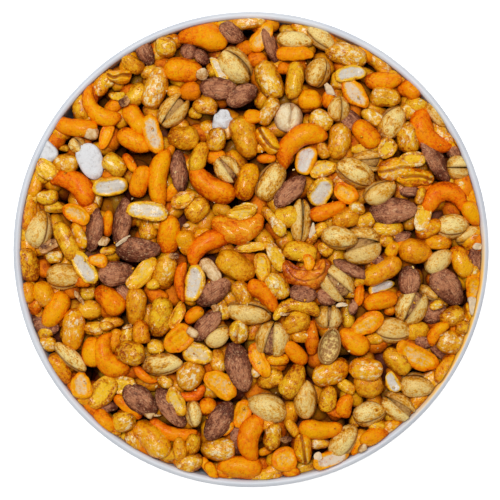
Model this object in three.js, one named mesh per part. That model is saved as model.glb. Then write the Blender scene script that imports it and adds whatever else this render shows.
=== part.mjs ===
// A round white bowl filled to the brim with a loose heap of smoked mixed nuts.
// Millimetres, +Z up. The origin is the centre of the foot ring, on the surface that the bowl stands on.
import * as THREE from 'three';

// Bowl
const RIM_RADIUS = 110;
const BOWL_HEIGHT = 70;
const RIM_THICKNESS = 3.4;
const FLOOR_THICKNESS = 5;
const FOOT_RADIUS = 62;
const FOOT_WIDTH = 6;
const FOOT_HEIGHT = 5;
const FOOT_CHAMFER = 1;
const RECESS_HEIGHT = 3;
const RIM_STEPS = 6;

// Bends of the wall's inner and outer curve, as shares of their radius and of the bowl's height
const BELLY_SHARE = 0.89;
const SIDE_SHARE = 0.99;
const OUTSIDE_SIDE_SHARE = 0.42;
const INSIDE_SIDE_SHARE = 0.47;
const BELLY_RISE = 1; // how far the outer curve's belly bend lies above the foot ring's top

// Heap of nuts
const HEAP_GAP = 0.35; // clearance between the heap and the bowl's inside
const HEAP_EDGE_HEIGHT = 62.5; // lowest hollow between two nuts at the wall
const HEAP_CROWN = 7.5; // how much higher the middle of the heap lies than its edge
const HEAP_RINGS = 28;
const NUT_COUNT = 190;
const NUT_LENGTH = 23;
const NUT_WIDTH = 14;
const NUT_STANDS_PROUD = 8; // how far a nut's back stands out of the hollows round it
const NUT_SINKS_SHARE = 0.5; // the share of that by which some nuts lie deeper
const NUT_SIZE_SPREAD = 0.3;

// Facets, the same in the bowl and the heap, so that their facing walls stay parallel
const SECTORS = 72;
const WALL_STEPS = 8;

const OPENING_RADIUS = RIM_RADIUS - RIM_THICKNESS;
const RIM_ROUND = RIM_THICKNESS / 2;
const RIM_BEND_HEIGHT = BOWL_HEIGHT - RIM_ROUND;
const INSIDE_FLOOR = FOOT_HEIGHT + FLOOR_THICKNESS;
const GOLDEN_ANGLE = Math.PI * (3 - Math.sqrt(5));
const SAME_HEIGHT = 1e-6;

// Multipliers that spread the repeatable scatter, and a salt for each of its uses
const SCATTER_BY_INDEX = 12.9898;
const SCATTER_BY_SALT = 78.233;
const SCATTER_SPREAD = 43758.5453;
const SALT = { size: 1, turn: 2, depth: 3 };

// The bowl's outside, from the top of the foot ring to the bend of the rim: a low belly, then a steep side.
function outsideCurve() {
  return new THREE.CubicBezierCurve(
    new THREE.Vector2(FOOT_RADIUS, FOOT_HEIGHT),
    new THREE.Vector2(RIM_RADIUS * BELLY_SHARE, FOOT_HEIGHT + BELLY_RISE),
    new THREE.Vector2(RIM_RADIUS * SIDE_SHARE, BOWL_HEIGHT * OUTSIDE_SIDE_SHARE),
    new THREE.Vector2(RIM_RADIUS, RIM_BEND_HEIGHT),
  );
}

// The bowl's inside, from the bend of the rim down to the flat of the floor. `inset` moves it inwards.
function insideCurve(inset = 0) {
  const radius = OPENING_RADIUS - inset;
  const floor = INSIDE_FLOOR + inset;
  return new THREE.CubicBezierCurve(
    new THREE.Vector2(radius, RIM_BEND_HEIGHT),
    new THREE.Vector2(radius * SIDE_SHARE, BOWL_HEIGHT * INSIDE_SIDE_SHARE),
    new THREE.Vector2(radius * BELLY_SHARE, floor),
    new THREE.Vector2(FOOT_RADIUS - inset, floor),
  );
}

// Turns a half section round the Z axis.
function turned(profile) {
  return new THREE.LatheGeometry(profile, SECTORS).rotateX(Math.PI / 2);
}

// Half section of the bowl: recess, foot ring, outside, rounded rim, inside.
function bowlProfile() {
  const footInside = FOOT_RADIUS - FOOT_WIDTH;
  const points = [
    new THREE.Vector2(0, RECESS_HEIGHT),
    new THREE.Vector2(footInside - FOOT_CHAMFER, RECESS_HEIGHT),
    new THREE.Vector2(footInside, 0),
    new THREE.Vector2(FOOT_RADIUS - FOOT_CHAMFER, 0),
    new THREE.Vector2(FOOT_RADIUS, FOOT_CHAMFER),
  ];
  points.push(...outsideCurve().getPoints(WALL_STEPS));
  for (let step = 1; step < RIM_STEPS; step += 1) {
    const angle = (Math.PI * step) / RIM_STEPS;
    points.push(
      new THREE.Vector2(
        RIM_RADIUS - RIM_ROUND + RIM_ROUND * Math.cos(angle),
        RIM_BEND_HEIGHT + RIM_ROUND * Math.sin(angle),
      ),
    );
  }
  points.push(...insideCurve().getPoints(WALL_STEPS));
  points.push(new THREE.Vector2(0, INSIDE_FLOOR));
  return points;
}

// A repeatable number from 0 to 1 for nut `index`; `salt` tells its different uses apart.
function scatter(index, salt) {
  const value = Math.sin(index * SCATTER_BY_INDEX + salt * SCATTER_BY_SALT) * SCATTER_SPREAD;
  return value - Math.floor(value);
}

// The nuts whose backs make the heap's outline, laid on a sunflower spiral and turned every way.
function nutsOnTop() {
  const reach = OPENING_RADIUS - HEAP_GAP;
  return Array.from({ length: NUT_COUNT }, (_, index) => {
    const distance = reach * Math.sqrt((index + 0.5) / NUT_COUNT);
    const around = index * GOLDEN_ANGLE;
    const size = 1 + NUT_SIZE_SPREAD * (scatter(index, SALT.size) - 0.5);
    return {
      x: distance * Math.cos(around),
      y: distance * Math.sin(around),
      turn: Math.PI * scatter(index, SALT.turn),
      halfLength: (NUT_LENGTH / 2) * size,
      halfWidth: (NUT_WIDTH / 2) * size,
      proud: NUT_STANDS_PROUD * (1 - NUT_SINKS_SHARE * scatter(index, SALT.depth)),
    };
  });
}

// How far the back of one nut stands out at (x, y): the upper half of an ellipsoid, or nothing beside it.
function backOf(nut, x, y) {
  const along = (x - nut.x) * Math.cos(nut.turn) + (y - nut.y) * Math.sin(nut.turn);
  const across = (y - nut.y) * Math.cos(nut.turn) - (x - nut.x) * Math.sin(nut.turn);
  const square = 1 - (along / nut.halfLength) ** 2 - (across / nut.halfWidth) ** 2;
  return square > 0 ? nut.proud * Math.sqrt(square) : 0;
}

// Height of the heap's uneven top at (x, y): a low crown with the nuts' backs on it.
function heapHeight(nuts, x, y) {
  const share = Math.hypot(x, y) / OPENING_RADIUS;
  const crown = HEAP_EDGE_HEIGHT + HEAP_CROWN * (1 - share ** 2);
  return crown + Math.max(...nuts.map((nut) => backOf(nut, x, y)));
}

// The heap: the bowl's inside less a small clearance, closed by the uneven top.
function heapGeometry() {
  // The wall stops one step short of the rim, and the heap's edge goes straight up from there.
  const wall = insideCurve(HEAP_GAP).getPoints(WALL_STEPS).slice(1).reverse();
  const edgeRadius = wall.at(-1).x;
  const profile = [new THREE.Vector2(0, INSIDE_FLOOR + HEAP_GAP), ...wall];
  for (let ring = HEAP_RINGS; ring >= 0; ring -= 1) {
    profile.push(new THREE.Vector2((edgeRadius * ring) / HEAP_RINGS, HEAP_EDGE_HEIGHT));
  }
  const geometry = turned(profile);
  const nuts = nutsOnTop();
  const position = geometry.getAttribute('position');
  for (let index = 0; index < position.count; index += 1) {
    if (position.getZ(index) > HEAP_EDGE_HEIGHT - SAME_HEIGHT) {
      position.setZ(index, heapHeight(nuts, position.getX(index), position.getY(index)));
    }
  }
  geometry.computeVertexNormals();
  return geometry;
}

function bowl() {
  const glaze = new THREE.MeshStandardMaterial({ color: '#e6e8eb', roughness: 0.25, metalness: 0 });
  const mesh = new THREE.Mesh(turned(bowlProfile()), glaze);
  mesh.name = 'bowl';
  return mesh;
}

function nutHeap() {
  const nuts = new THREE.MeshStandardMaterial({ color: '#c9861f', roughness: 0.55, metalness: 0 });
  const mesh = new THREE.Mesh(heapGeometry(), nuts);
  mesh.name = 'nut_heap';
  return mesh;
}

const bowlOfNuts = new THREE.Group();
bowlOfNuts.add(bowl(), nutHeap());

export default bowlOfNuts;
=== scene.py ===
"""A round white glazed bowl, heaped with smoked mixed nuts and seen from straight above.

Lengths are millimetres and angles are degrees, unless a name says otherwise; a mesh takes its points in
metres. +Z is up, and the bowl stands on z = 0 with its middle at the origin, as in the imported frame.
"""

import logging
from dataclasses import dataclass, replace
from enum import Enum, IntEnum
from functools import cache
from typing import Any

import bpy
import numpy as np
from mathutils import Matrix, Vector


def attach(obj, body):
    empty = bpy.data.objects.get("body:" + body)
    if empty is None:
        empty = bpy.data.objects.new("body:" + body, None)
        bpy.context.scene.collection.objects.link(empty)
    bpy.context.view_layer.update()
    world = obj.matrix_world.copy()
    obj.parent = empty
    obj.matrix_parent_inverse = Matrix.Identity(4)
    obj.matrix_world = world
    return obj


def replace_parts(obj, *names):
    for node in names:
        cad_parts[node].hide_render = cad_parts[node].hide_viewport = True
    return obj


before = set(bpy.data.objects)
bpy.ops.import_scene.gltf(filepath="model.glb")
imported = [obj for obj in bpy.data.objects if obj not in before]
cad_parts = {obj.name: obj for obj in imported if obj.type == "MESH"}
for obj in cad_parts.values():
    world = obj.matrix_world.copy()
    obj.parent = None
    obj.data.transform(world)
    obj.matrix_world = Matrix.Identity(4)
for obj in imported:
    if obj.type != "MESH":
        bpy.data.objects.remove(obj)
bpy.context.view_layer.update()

LOG = logging.getLogger("bowl_of_nuts")
MM = 0.001
TINY = 1e-9  # keeps a length from being 0 where something is divided by it
BODY = "root"
Array = np.ndarray
Random = np.random.Generator
Skins = list[tuple[Array, Array]]
Colour = tuple[float, float, float, float]


class Slot(Enum):
    """The record's material slots."""

    GLAZE = "bowl_glaze"
    NUTS = "mixed_nuts"


class Tier(IntEnum):
    """How high a nut lies in the heap."""

    BOTTOM = 0
    LOW = 1
    BETWEEN = 2
    UNDER = 3
    TOP = 4
    OVER = 5
    CRUMB = 6


# ---- Numbers


def tint(red: int, green: int, blue: int) -> Colour:
    """A colour as seen on a screen, as the linear colour that a shader takes, by the screen's own curve.

    Args:
        red: Red, 0 to 255.
        green: Green, 0 to 255.
        blue: Blue, 0 to 255.

    Returns:
        Red, green, blue and 1.
    """
    seen = np.array([red, green, blue]) / 255
    linear = np.where(seen < 0.04045, seen / 12.92, ((seen + 0.055) / 1.055) ** 2.4)
    return (*linear.tolist(), 1.0)


def ease(value: Array) -> Array:
    """0 below 0 and 1 above 1, with three times the square less twice the cube between."""
    held = np.clip(value, 0, 1)
    return held * held * (3 - 2 * held)


def unit(vectors: Array) -> Array:
    """Vectors of length one in the same directions."""
    return vectors / np.maximum(np.linalg.norm(vectors, axis=-1, keepdims=True), TINY)


def stack(*values: Array) -> Array:
    """Arrays that broadcast to one shape, as the last axis of one array."""
    return np.stack(np.broadcast_arrays(*values), axis=-1)


def bell(value: Array, other: Array | float = 0.0) -> Array:
    """1 where both values are 0, falling off to all sides: e to the power of less their squares."""
    return np.exp(-(value**2) - other**2)


def oval(along: Array, bluntness: float = 2.0) -> Array:
    """Half width of an oval from end to end, (1 - |along|^b)^(1/b), where b of 2 gives an ellipse."""
    return np.maximum(1 - np.abs(along) ** bluntness, 0) ** (1 / bluntness)


def drawn(rng: Random, low: float, high: float, count: int) -> Array:
    """One random number from low to high for each nut."""
    return rng.uniform(low, high, (count, 1, 1))


def elsewhere(rng: Random, count: int, far: float = 400.0) -> Array:
    """A random place in the noise for each nut, so that no two nuts look the same."""
    return rng.uniform(-far, far, (count, 1, 1, 3))


def noise(points: Array, seed: int = 0) -> Array:
    """Smooth noise: a random number at each corner of a unit lattice, eased from corner to corner.

    The large numbers are primes and the like, which stir a corner's three whole numbers to one.

    Args:
        points: Places, three numbers each, in units of the noise's grain.
        seed: Another seed gives another noise.

    Returns:
        One number from -1 to 1 for each place.
    """
    base = np.floor(points).astype(np.int64)
    share = ease(points - base)
    total = np.zeros(points.shape[:-1])
    for corner in np.ndindex(2, 2, 2):
        step = np.array(corner)
        at = base + step
        code = (at[..., 0] * 73856093) ^ (at[..., 1] * 19349663) ^ (at[..., 2] * 83492791)
        code = (code ^ (seed * 2654435761)) & 0xFFFFFFFF
        code = ((code ^ (code >> 15)) * 2246822519) & 0xFFFFFFFF
        code = ((code ^ (code >> 13)) * 3266489917) & 0xFFFFFFFF
        value = ((code ^ (code >> 16)) & 0xFFFF) / 32767.5 - 1
        total += value * np.prod(np.where(step, share, 1 - share), axis=-1)
    return total


def turned(angle: Array, axis: int) -> Array:
    """Rotation matrices about x, y or z.

    Args:
        angle: Degrees, one for each matrix.
        axis: 0, 1 or 2.

    Returns:
        (matrices, 3, 3).
    """
    across, up = [(1, 2), (2, 0), (0, 1)][axis]
    cosine, sine = np.cos(np.radians(angle)), np.sin(np.radians(angle))
    matrix = np.zeros((len(angle), 3, 3))
    matrix[:, axis, axis] = 1
    matrix[:, across, across] = matrix[:, up, up] = cosine
    matrix[:, across, up], matrix[:, up, across] = -sine, sine
    return matrix


# ---- Where the nuts lie, read off the photo, and by guess where they are mostly hidden


@dataclass(frozen=True)
class Lie:
    """Where and how one nut lies, seen from above.

    Attributes:
        x: Middle, to the right of the bowl's middle.
        y: Middle, towards the photo's top.
        length: Length, along the curve for a curved nut.
        width: Width as seen, or the thickness of a curved nut.
        turn: Direction of its length, anticlockwise from the right.
        bend: How far a curved nut turns from end to end, positive where it bulges to its left.
        roll: Turn about its own length, positive where its top goes to its left.
        gape: How wide a shell stands open.
        worn: How much of its coat a split face has lost, from 0 to 1.
        tier: How high it lies.
    """

    x: float
    y: float
    length: float
    width: float
    turn: float = 0.0
    bend: float = 0.0
    roll: float = 0.0
    gape: float = 0.0
    worn: float = 0.3
    tier: Tier = Tier.TOP


def lies(names: str, tier: Tier, *rows: tuple[float, ...]) -> list[Lie]:
    """Rows of numbers as lies.

    Args:
        names: What the numbers after x, y, length, width and turn are.
        tier: How high all of them lie.
        *rows: One row for each nut.

    Returns:
        One lie for each row.
    """
    keys = ["x", "y", "length", "width", "turn", *names.split()]
    return [Lie(**dict(zip(keys, row)), tier=tier) for row in rows]


ORANGE_CASHEWS = lies(
    "bend", Tier.TOP,
    (-23, 97, 25, 12, -11, 90), (-69.5, 66.5, 26, 8, -45, -150), (-81.5, 57.8, 22, 8.5, -7, -60),
    (-40.8, 32.5, 28.5, 9, 84, 55), (-18, 31, 26, 11, -35, -75), (23, 47.2, 31, 9.6, 37, 142),
    (-63.8, -48, 26, 9.5, -62, -180), (32.2, -82.2, 20.5, 8.5, 0, -45), (1.8, -87.4, 23, 10, -100, -120),
    (86.5, -39, 14, 5.5, 51, 100), (5.6, -21.6, 19, 8, -47, 45),
) + lies("bend", Tier.UNDER, (-38, 43, 12, 4, 70))

EMBER_CASHEWS = lies(
    "bend", Tier.TOP,
    (-83, 27.8, 25, 10.5, -36, 145), (89.6, 21.8, 28, 9.6, 4, 215), (84.2, 54.6, 28, 10.5, -50, -165),
    (-20.2, -0.2, 24, 8.8, 36, 135), (-31.5, -15, 19, 5, -93, -60),
) + lies(
    "bend", Tier.UNDER,
    (-36, -83, 24, 7, -15, -80), (-27, -66, 14, 5, 20, -120), (-49, -57.5, 14, 4.5, -39, -60),
)

HONEY_CASHEWS = lies("bend", Tier.TOP, (20.5, -28.5, 25, 7, 5, 130), (96, 48, 9, 4, -60, 20))

FROSTED_CASHEW = lies("bend", Tier.TOP, (-5.4, 12.4, 26.5, 12.5, 3, -165))

CRUMPLED = lies("bend", Tier.TOP, (25.0, -8.6, 26, 11, 2, -175))

SPLIT_PEANUTS = lies(
    "", Tier.TOP,
    (75.8, 33.2, 18.5, 9.5, -3), (66.3, 36.8, 16.5, 11, 10), (24.3, -92, 15, 8.5, 92),
    (7.8, 50.3, 15.5, 8.5, -52), (-61, 80, 12, 6.5, 0),
)

ALMONDS = lies(
    "roll", Tier.TOP,
    (-49, 91, 14, 8, -65), (-15, 74, 18, 11, -5), (-9, 100, 13, 9, -30), (9, 94, 18, 6, -68, 70),
    (-4, 71, 16, 10, 30), (-33, 36, 20, 7, -87, 60), (-59.5, 13, 23, 9.5, 82, 45),
    (-72.5, 9, 21, 7.5, 82, 60), (18, 27, 20, 10, 45), (65.6, 18, 22, 12.5, 5),
    (85.3, 41.5, 24, 8.5, -60, 50), (-52, -0.3, 21, 12, 3), (-62, -11, 17, 12, 5),
    (-17.5, -19.7, 18.5, 11, 35), (-20.4, -35, 18, 9.5, 45), (-5.6, -54, 24, 12, -75),
    (-51, -69.5, 20, 12, -40), (-37, -73, 21, 8, -55, 55), (-14.7, -79, 20.5, 11, 58),
    (23.7, -20.3, 13, 9.5, -10), (45.7, -9, 18, 7, -28, 50), (73, -14.7, 15, 11, -88),
    (90.6, -17.3, 21, 13, -48),
) + lies(
    "roll", Tier.UNDER,
    (-29, 92, 8, 8, 60), (-23, 89, 9, 6, -40), (84.5, -29, 13, 11, 20), (87, -47.5, 12, 5, -42),
    (-96, -35, 16, 10, -15), (104, -4.5, 12, 7, -85), (-6.5, -88.5, 13, 7, -80), (-58.5, -20, 9, 7, -50),
    (94, 45, 9, 7, -55), (80, -43, 9, 6, -20), (74, 26.5, 11, 5, 0), (-66, -73, 9, 6, 0), (70, 6, 9, 5, 20),
    (58, -4.5, 8, 5, -30), (46.5, 59.5, 13, 9, -45), (35, -22, 10, 8, -30), (47, -26.5, 8, 5, 80),
)

PISTACHIOS = lies(
    "gape roll", Tier.TOP,
    (-7, 85, 19, 14, -45, 6, 20), (-36, 64, 17, 11, 50, 12, 10), (20, 96.5, 17, 9, -5, 0, 120),
    (32, 98, 17, 9, -40, 0, 140), (31, 82, 14, 11.5, 65, 0, 130), (40.5, 65, 12, 10, 85, 0, 150),
    (86, 62.5, 14, 7.5, -55, 2, 60), (-80, 48, 9, 7, -50, 8, 30), (9, 31.5, 20, 12, 62, 3, 60),
    (-11, 37, 14, 10, -50, 10, 20), (23, 13.5, 19, 8.5, 88, 3, 0), (65, 58.5, 17.5, 12, 55, 3, 60),
    (48.5, 35, 20, 13, -28, 0, 130), (59.5, 26.5, 16.5, 10.5, 28, 3, 60), (96.5, 38, 12, 11, 0, 3, 0),
    (50.7, 2, 19, 14, 186, 24, -22), (93.5, 10.7, 16.5, 11.5, 5, 0, 130), (-98, 9.7, 18.5, 13, 80, 0, 150),
    (-86.6, -12.7, 16.5, 12.5, -5, 2, -60), (-40.8, -53, 19.5, 10.5, 8, 0, 130),
    (-1, -28.7, 20.5, 11, -8, 3, 60), (-15.5, -39.5, 12.5, 10, 40, 2, 60), (9.5, -42, 17, 14, -100, 17, 0),
    (66, -37.7, 17, 12, -5, 0, 130), (39.5, -15.7, 18, 12.5, -48, 15, 10), (74.5, -26.3, 18, 13, 62, 11, 10),
    (76.7, -62.8, 16.5, 11.5, -3, 8, 50), (25.3, -69.5, 18, 11, 88, 0, 120),
    (7.5, -73, 19.5, 13.5, 155, 3, -70), (54.8, -76, 15.5, 11.5, 15, 0, 130),
    (68.3, -72.7, 17, 11, -35, 10, 0), (43, -88.6, 18.5, 11.5, 52, 0, 130), (87, -5.5, 15, 9.5, 35, 3, 80),
    (-83, -50.3, 19, 7.5, -42, 3, -60), (-26.5, -75.5, 12.5, 7.5, -85, 0, 130),
) + lies(
    "gape roll", Tier.UNDER,
    (53.5, 41, 14, 8, -5, 20, 0), (36, -31, 12.5, 12, 85, 8, 0), (82, -20, 10, 5, -35, 0, 130),
    (101, 6.5, 13, 8, 25, 0, 130),
) + lies("gape roll", Tier.OVER, (40.5, 5.3, 17, 11, -12, 0, 120))

EMPTY_SHELLS = lies("", Tier.OVER, (36.3, -44.2, 17, 11, 76))

BLANCHED = lies("", Tier.TOP, (-18.5, -9.5, 13, 6, -55), (-75, 54.5, 10, 6.5, -25))

BLANCHED_HALVES = lies("", Tier.TOP, (-74, 40.5, 17.5, 11.5, -68), (-95.5, 46, 14, 11, -40))

ROUND_PEAS = lies("", Tier.TOP, (17.2, 60.8, 14, 13.2, -100))

GOLDEN_PEAS = lies("", Tier.TOP, (-5.5, -38, 11, 9.5, 80))

ORANGE_HALVES = lies(
    "worn", Tier.TOP,
    (-45, 53, 18, 9.5, -72, 0.8), (48, 72, 17, 9, -50, 0.8), (43.5, 26, 12.5, 8.5, -30, 0.4),
    (-80.5, 16.3, 14.5, 8.5, -25, 0.6), (53, -34.3, 17, 9, 33, 0.4), (76.8, -49, 22, 10, -28, 0.5),
    (-14.5, -62.5, 17, 10.5, -38, 0.5), (4, -51, 17, 7.5, -65, 0.35), (15.4, -97, 12.5, 11, 10, 0.35),
    (102.5, -18, 13, 8, -80, 0.4), (37, -97, 17, 8, 15, 0.85), (-67, 52, 13, 6, 70, 0.2),
    (-78, -62.5, 13, 9.5, 95, 0.7), (-4, -76, 14, 9, 70, 0.4), (-11, -83, 9, 4, 45, 0.4),
    (-70.5, -5, 9, 6, -15, 0.5), (5, 98, 15, 8, 55, 0.6), (25.5, 40.8, 13.5, 10, 70, 0.95),
    (-33, -41, 15, 11, 40, 0.1),
) + lies(
    "roll", Tier.TOP, (20, 90, 17.5, 7, -2, 180)
) + lies("worn", Tier.OVER, (26.3, -5.8, 7.5, 5.2, -75, 0.4))

HONEY_HALVES = lies(
    "worn", Tier.TOP,
    (-15, 83, 14, 6, -60, 0.8), (-62, 71, 8, 4, 0, 0.4), (-65, 29, 16.5, 9, 8, 0.95),
    (-94, 37, 13, 8, -40, 0.2), (-31, 23, 12, 7, 25, 0.2), (-76.7, -8.2, 18, 9, -52, 0.9),
    (-26.4, -15.3, 17, 9.7, 78, 0.9), (-50, -11, 18.5, 8.5, 50, 0.35), (-24.5, -48.2, 14, 9.5, -10, 0.7),
    (74.2, 41.8, 12.5, 7, 5, 0.1), (-4.4, 16.9, 14.5, 6.5, 6, 0.45), (33, 37, 13.5, 8, 22, 0.5),
    (32, 26.7, 14.5, 11.5, 58, 0.9), (62.8, 46.5, 10, 8.5, 50, 0.15), (78.7, 15.5, 15, 7, 75, 0.15),
    (5, -8, 14, 7.5, 95, 0.4), (11.5, -3.5, 14.5, 7, -62, 0.2), (-60.5, -62.5, 15, 9, -5, 0.2),
    (-69, -66, 17, 11, 55, 0.2), (-34.3, -30.5, 13.5, 6, 65, 0.15), (-34.5, -69.8, 14, 7.8, -65, 0.5),
    (46, 81, 15, 7, 12, 0.9), (65.5, -61, 11, 6.5, -65, 0.95),
) + lies(
    "worn", Tier.UNDER,
    (60.5, -17.5, 13, 5.5, 20, 0.95), (0, 1.2, 17, 5, 8, 0.4), (53, 46.5, 13, 4.5, 0, 0.4),
    (-3, 18.3, 13, 6, 12, 0.5),
) + lies("worn", Tier.OVER, (-47.5, 17.5, 20, 9, -6, 0.85))

HONEY_PEANUTS = lies(
    "", Tier.TOP,
    (-39.5, 94, 10.5, 10.5), (-55, 86, 12, 8, -35), (-44, 75, 20, 11, 72), (-21, 66, 12, 8), (-2, 105, 18, 8),
    (8.5, 78, 19, 12, -62), (20, 78, 17, 8.5, 80), (9, 65, 10, 8, 60), (44, 90, 20, 11, -18),
    (62, 70.5, 14, 9.5, -8), (-85.5, 40, 12, 10, -15), (-94, 24, 10, 7), (-63, 39, 12, 10, -40),
    (-31.5, 51.5, 15, 11, -5), (-24, 42, 15, 8, 70), (-25, 18.5, 12.5, 11, 35), (-3, 52, 20, 13, -70),
    (-16, 51, 11, 8.5, 85), (7, 62, 10, 7, 60), (73, 51.5, 14, 10.5, 98), (40.5, 50, 17.5, 11.5, 80),
    (32.3, 59.3, 12, 9.5, -32), (17, 15, 13.7, 9.5), (10.5, 13, 16, 6, -55), (43, 14, 13, 9, 20),
    (48.5, 19, 8, 6.5, -20), (22.5, -0.8, 16.5, 10.5, -10), (-7, -7.7, 19, 12.5, -32),
    (-39.5, -10, 17.5, 10.8, 72), (-53, -26, 18, 10.5, 80), (-41.7, -30.8, 19, 10.5, 85),
    (-64, -33.7, 11.5, 5.5, 3), (-94.7, -44, 9.5, 7, -10), (-28.5, -58.4, 13.5, 12, 60),
    (-4, -20.8, 13.5, 9.5, -60), (12, -16.7, 13.5, 9.5, -50), (19.3, -60.3, 17.5, 10.2, 55),
    (54, -62.3, 14, 12.5), (67.6, -51.6, 15.5, 10.3, -42), (35.5, -68.7, 13, 8, 80),
    (93.3, -30.7, 12, 9.5, 25), (97.5, -36, 7.5, 7.3), (92, -43, 13.5, 11, -10),
    (-58.5, -79.3, 11.5, 10.3, 20), (-32.7, -91.8, 11, 6.8, -85), (-27, -90, 10, 7, 75),
    (-28.3, -98.7, 12.5, 9.5, 10), (-15.3, -92.3, 16, 10.3, 5), (10.3, -86.7, 13, 8.3, 80),
    (-85.3, 3.9, 19, 8.5, -63), (-91, -3.3, 8.5, 6.5), (-103, -7, 16.5, 10, -75), (-66, -0.7, 7, 4, 10),
    (21, -33.3, 13.5, 11, 20), (78, 24.5, 8.5, 5, 70), (-66.5, -35, 7, 5, 20), (-45, -16.3, 7, 5, 20),
) + lies(
    "", Tier.UNDER,
    (-68, 78, 10, 8, 20), (-53.5, 71.5, 13, 9, 55), (-35, 73, 8, 6), (18, 102, 10, 7), (41, 78, 9, 8),
    (73, 64, 9, 8), (61, 85, 9, 5, -50), (-87, 47, 6, 4), (-100, 31, 8, 7), (-75, 27, 7, 5),
    (-72, 22, 8, 6, 90), (33.5, 46, 9.5, 6, -60), (56.5, 61.5, 11, 8, -40), (-13.5, 18.5, 9, 7, -10),
    (53, 13.5, 10, 8.5), (63.5, 9.5, 14.5, 8), (-74.5, -28, 12, 9), (-73, -36.5, 10, 6.5), (-44, -45, 8, 7),
    (-39.7, -61.3, 8.5, 6.5, -20), (-15.3, -51.3, 11.5, 8, -80), (-13, -28, 9.5, 6.5, -80),
    (9, -60, 13, 9, 20), (23, -39.7, 8.5, 6.5), (44.5, -30, 13, 6.5, 95), (44, -63.3, 10, 5.5, -35),
    (77, -37.7, 11, 9.5), (80, -69.5, 9, 5, -30), (-56.5, -88.3, 9, 6, -30), (19, -82.5, 9.5, 5.5, -65),
    (32.5, -89.8, 9, 6), (58, -81.5, 8, 6), (-75, -20, 8.5, 7.5), (-47.5, 9.5, 11, 8.5, 90), (-42, 12, 6, 5),
    (-100, -28, 7, 4), (94, 31, 6, 4.5, -40), (98.5, 30, 8, 7), (57, -41, 9, 6), (-57.2, -39.7, 9.5, 7, 80),
    (-62.5, -86, 5, 5), (31.4, 9.2, 9, 7, 30), (73.8, 12.4, 8, 6, 60), (-47, 82.5, 8, 6, 20),
    (-18.4, 83, 7, 6, 80), (45.2, -19.9, 8, 6, 10), (48.4, -79.4, 8, 6, 60), (34.1, 0.4, 8, 6, -20),
    (27.7, 5, 7, 5, 40), (62.3, 4.1, 8, 6), (2.3, -56.3, 7, 6, 30), (50.3, -14.3, 8, 6, 45),
    (-90.5, 19.3, 10, 6), (-10.6, 54.4, 7, 5, 70), (-25.8, 63.1, 7, 5, -30),
) + lies("", Tier.OVER, (85.5, -25.5, 6.5, 4.5), (-55.8, -47.6, 14.5, 11.5, -8))

GOLDEN_PEANUTS = lies(
    "", Tier.TOP,
    (-102.5, 16, 15, 6, 75), (76, -0.5, 16, 11.5, -5), (97, -5.5, 16, 9.5, -68), (82, 10, 13, 8, 25),
    (60, -10, 20.5, 10.5, 30), (-82.2, -37.3, 19.5, 11, 85), (-88.5, -55, 15.5, 9, -52),
    (-50.5, -38, 10.5, 8, 95), (-45.8, -87.7, 22, 13, -42), (-95.7, -20.5, 12.5, 9.5, -70),
    (-103, -20, 9, 6.5, -80), (-29.7, 3, 13, 8.5, -70), (37, -56.5, 18.5, 11.5, 25), (-2, 31, 19, 10.5, 70),
    (90.3, -55, 16, 9, 50),
) + lies(
    "", Tier.UNDER,
    (87, 3.5, 13, 7, -5), (65.5, 0, 8, 7, 60), (12.5, -51, 10.5, 6), (101.5, -28.5, 10, 5, -75),
    (66, -81.8, 9, 6, 20), (-79.3, 6.3, 13.5, 6.5, -65), (-22.3, 6, 8.5, 8), (8, -104, 13, 6, 5),
    (-63, -42, 11, 7, 80), (-74.7, 18.9, 8, 6, 10), (5.1, 47, 8, 6, 30), (7.4, -80.8, 8, 6),
) + lies("", Tier.OVER, (52.7, -55, 15.5, 10.5, -5))

ORANGE_PEANUTS = lies(
    "", Tier.TOP,
    (-31, 83, 18.5, 11.5, -8), (61, 78, 17, 8), (74, 74, 10, 9, -40), (-53, 60, 16, 10, -55),
    (-54, 50, 17, 9, -30), (-56, 40, 10, 5, -60), (-51, 31.5, 15, 9, 70), (1, 61, 9, 7),
    (53, 53.3, 15.5, 10.5, -45), (35.2, 17.8, 17.5, 7.5, 20), (102.4, 16.7, 13, 8.5, -50),
    (-66, 12, 12.5, 5, 86), (-38, 7, 18.5, 10.5, 82), (-26.3, -30.2, 10, 6.3, 38),
    (-90.4, -27.7, 18, 10.5, 62), (-65.3, -23, 17, 10.8, -42), (-73.3, -47.5, 14.5, 9.3, 95),
    (20.5, -48, 14, 7.5, -42), (47.3, -42.5, 15.5, 10.5, -35), (60, -23.5, 16, 9, 15), (43.5, -72, 12, 8, 75),
    (-5.5, -101, 21, 11.5, -3), (18.7, -102.5, 8.5, 6.5, -20), (-18, -102.5, 9.5, 5, -60),
    (56.8, -86.7, 14.5, 8.5, 12), (-68, -79, 13, 8, -52),
) + lies(
    "", Tier.UNDER,
    (27, 69.5, 11, 10), (36, 69, 8, 6, 80), (53, 91, 11, 8, -35), (7, 42, 9, 5), (-16, 43, 9, 7),
    (103, 24, 11, 6, -70), (50, -21, 10, 5, 80), (64, -28.3, 6, 5), (-20, -72.7, 9, 8.3),
    (-21, -100, 8, 5, -60), (-57, -72.7, 16, 6.5, -40), (70, 3, 8, 6, 60), (7, -93.5, 7, 4, 20),
    (49, -92, 8, 3.5, 60), (104, -12.5, 7, 4, 20), (-64.1, 66, 9, 7, 40), (-36.9, 26.2, 9, 6, 60),
)

RUST_PEANUTS = lies(
    "", Tier.UNDER,
    (-28, 73, 10, 9), (3, 88, 9, 8), (-3, 93, 8, 7), (16, 84, 8, 6), (-44, -20.5, 13, 8, -30),
    (-96, -9, 10, 8, -70), (28, -41, 17, 6.5, -87), (58, -4.5, 7, 4, 20), (38.5, -75.3, 8, 4, -20),
    (-74, -74.5, 9, 7, -50), (-78, -15, 8, 5), (80, 28.5, 12, 5),
)

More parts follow.
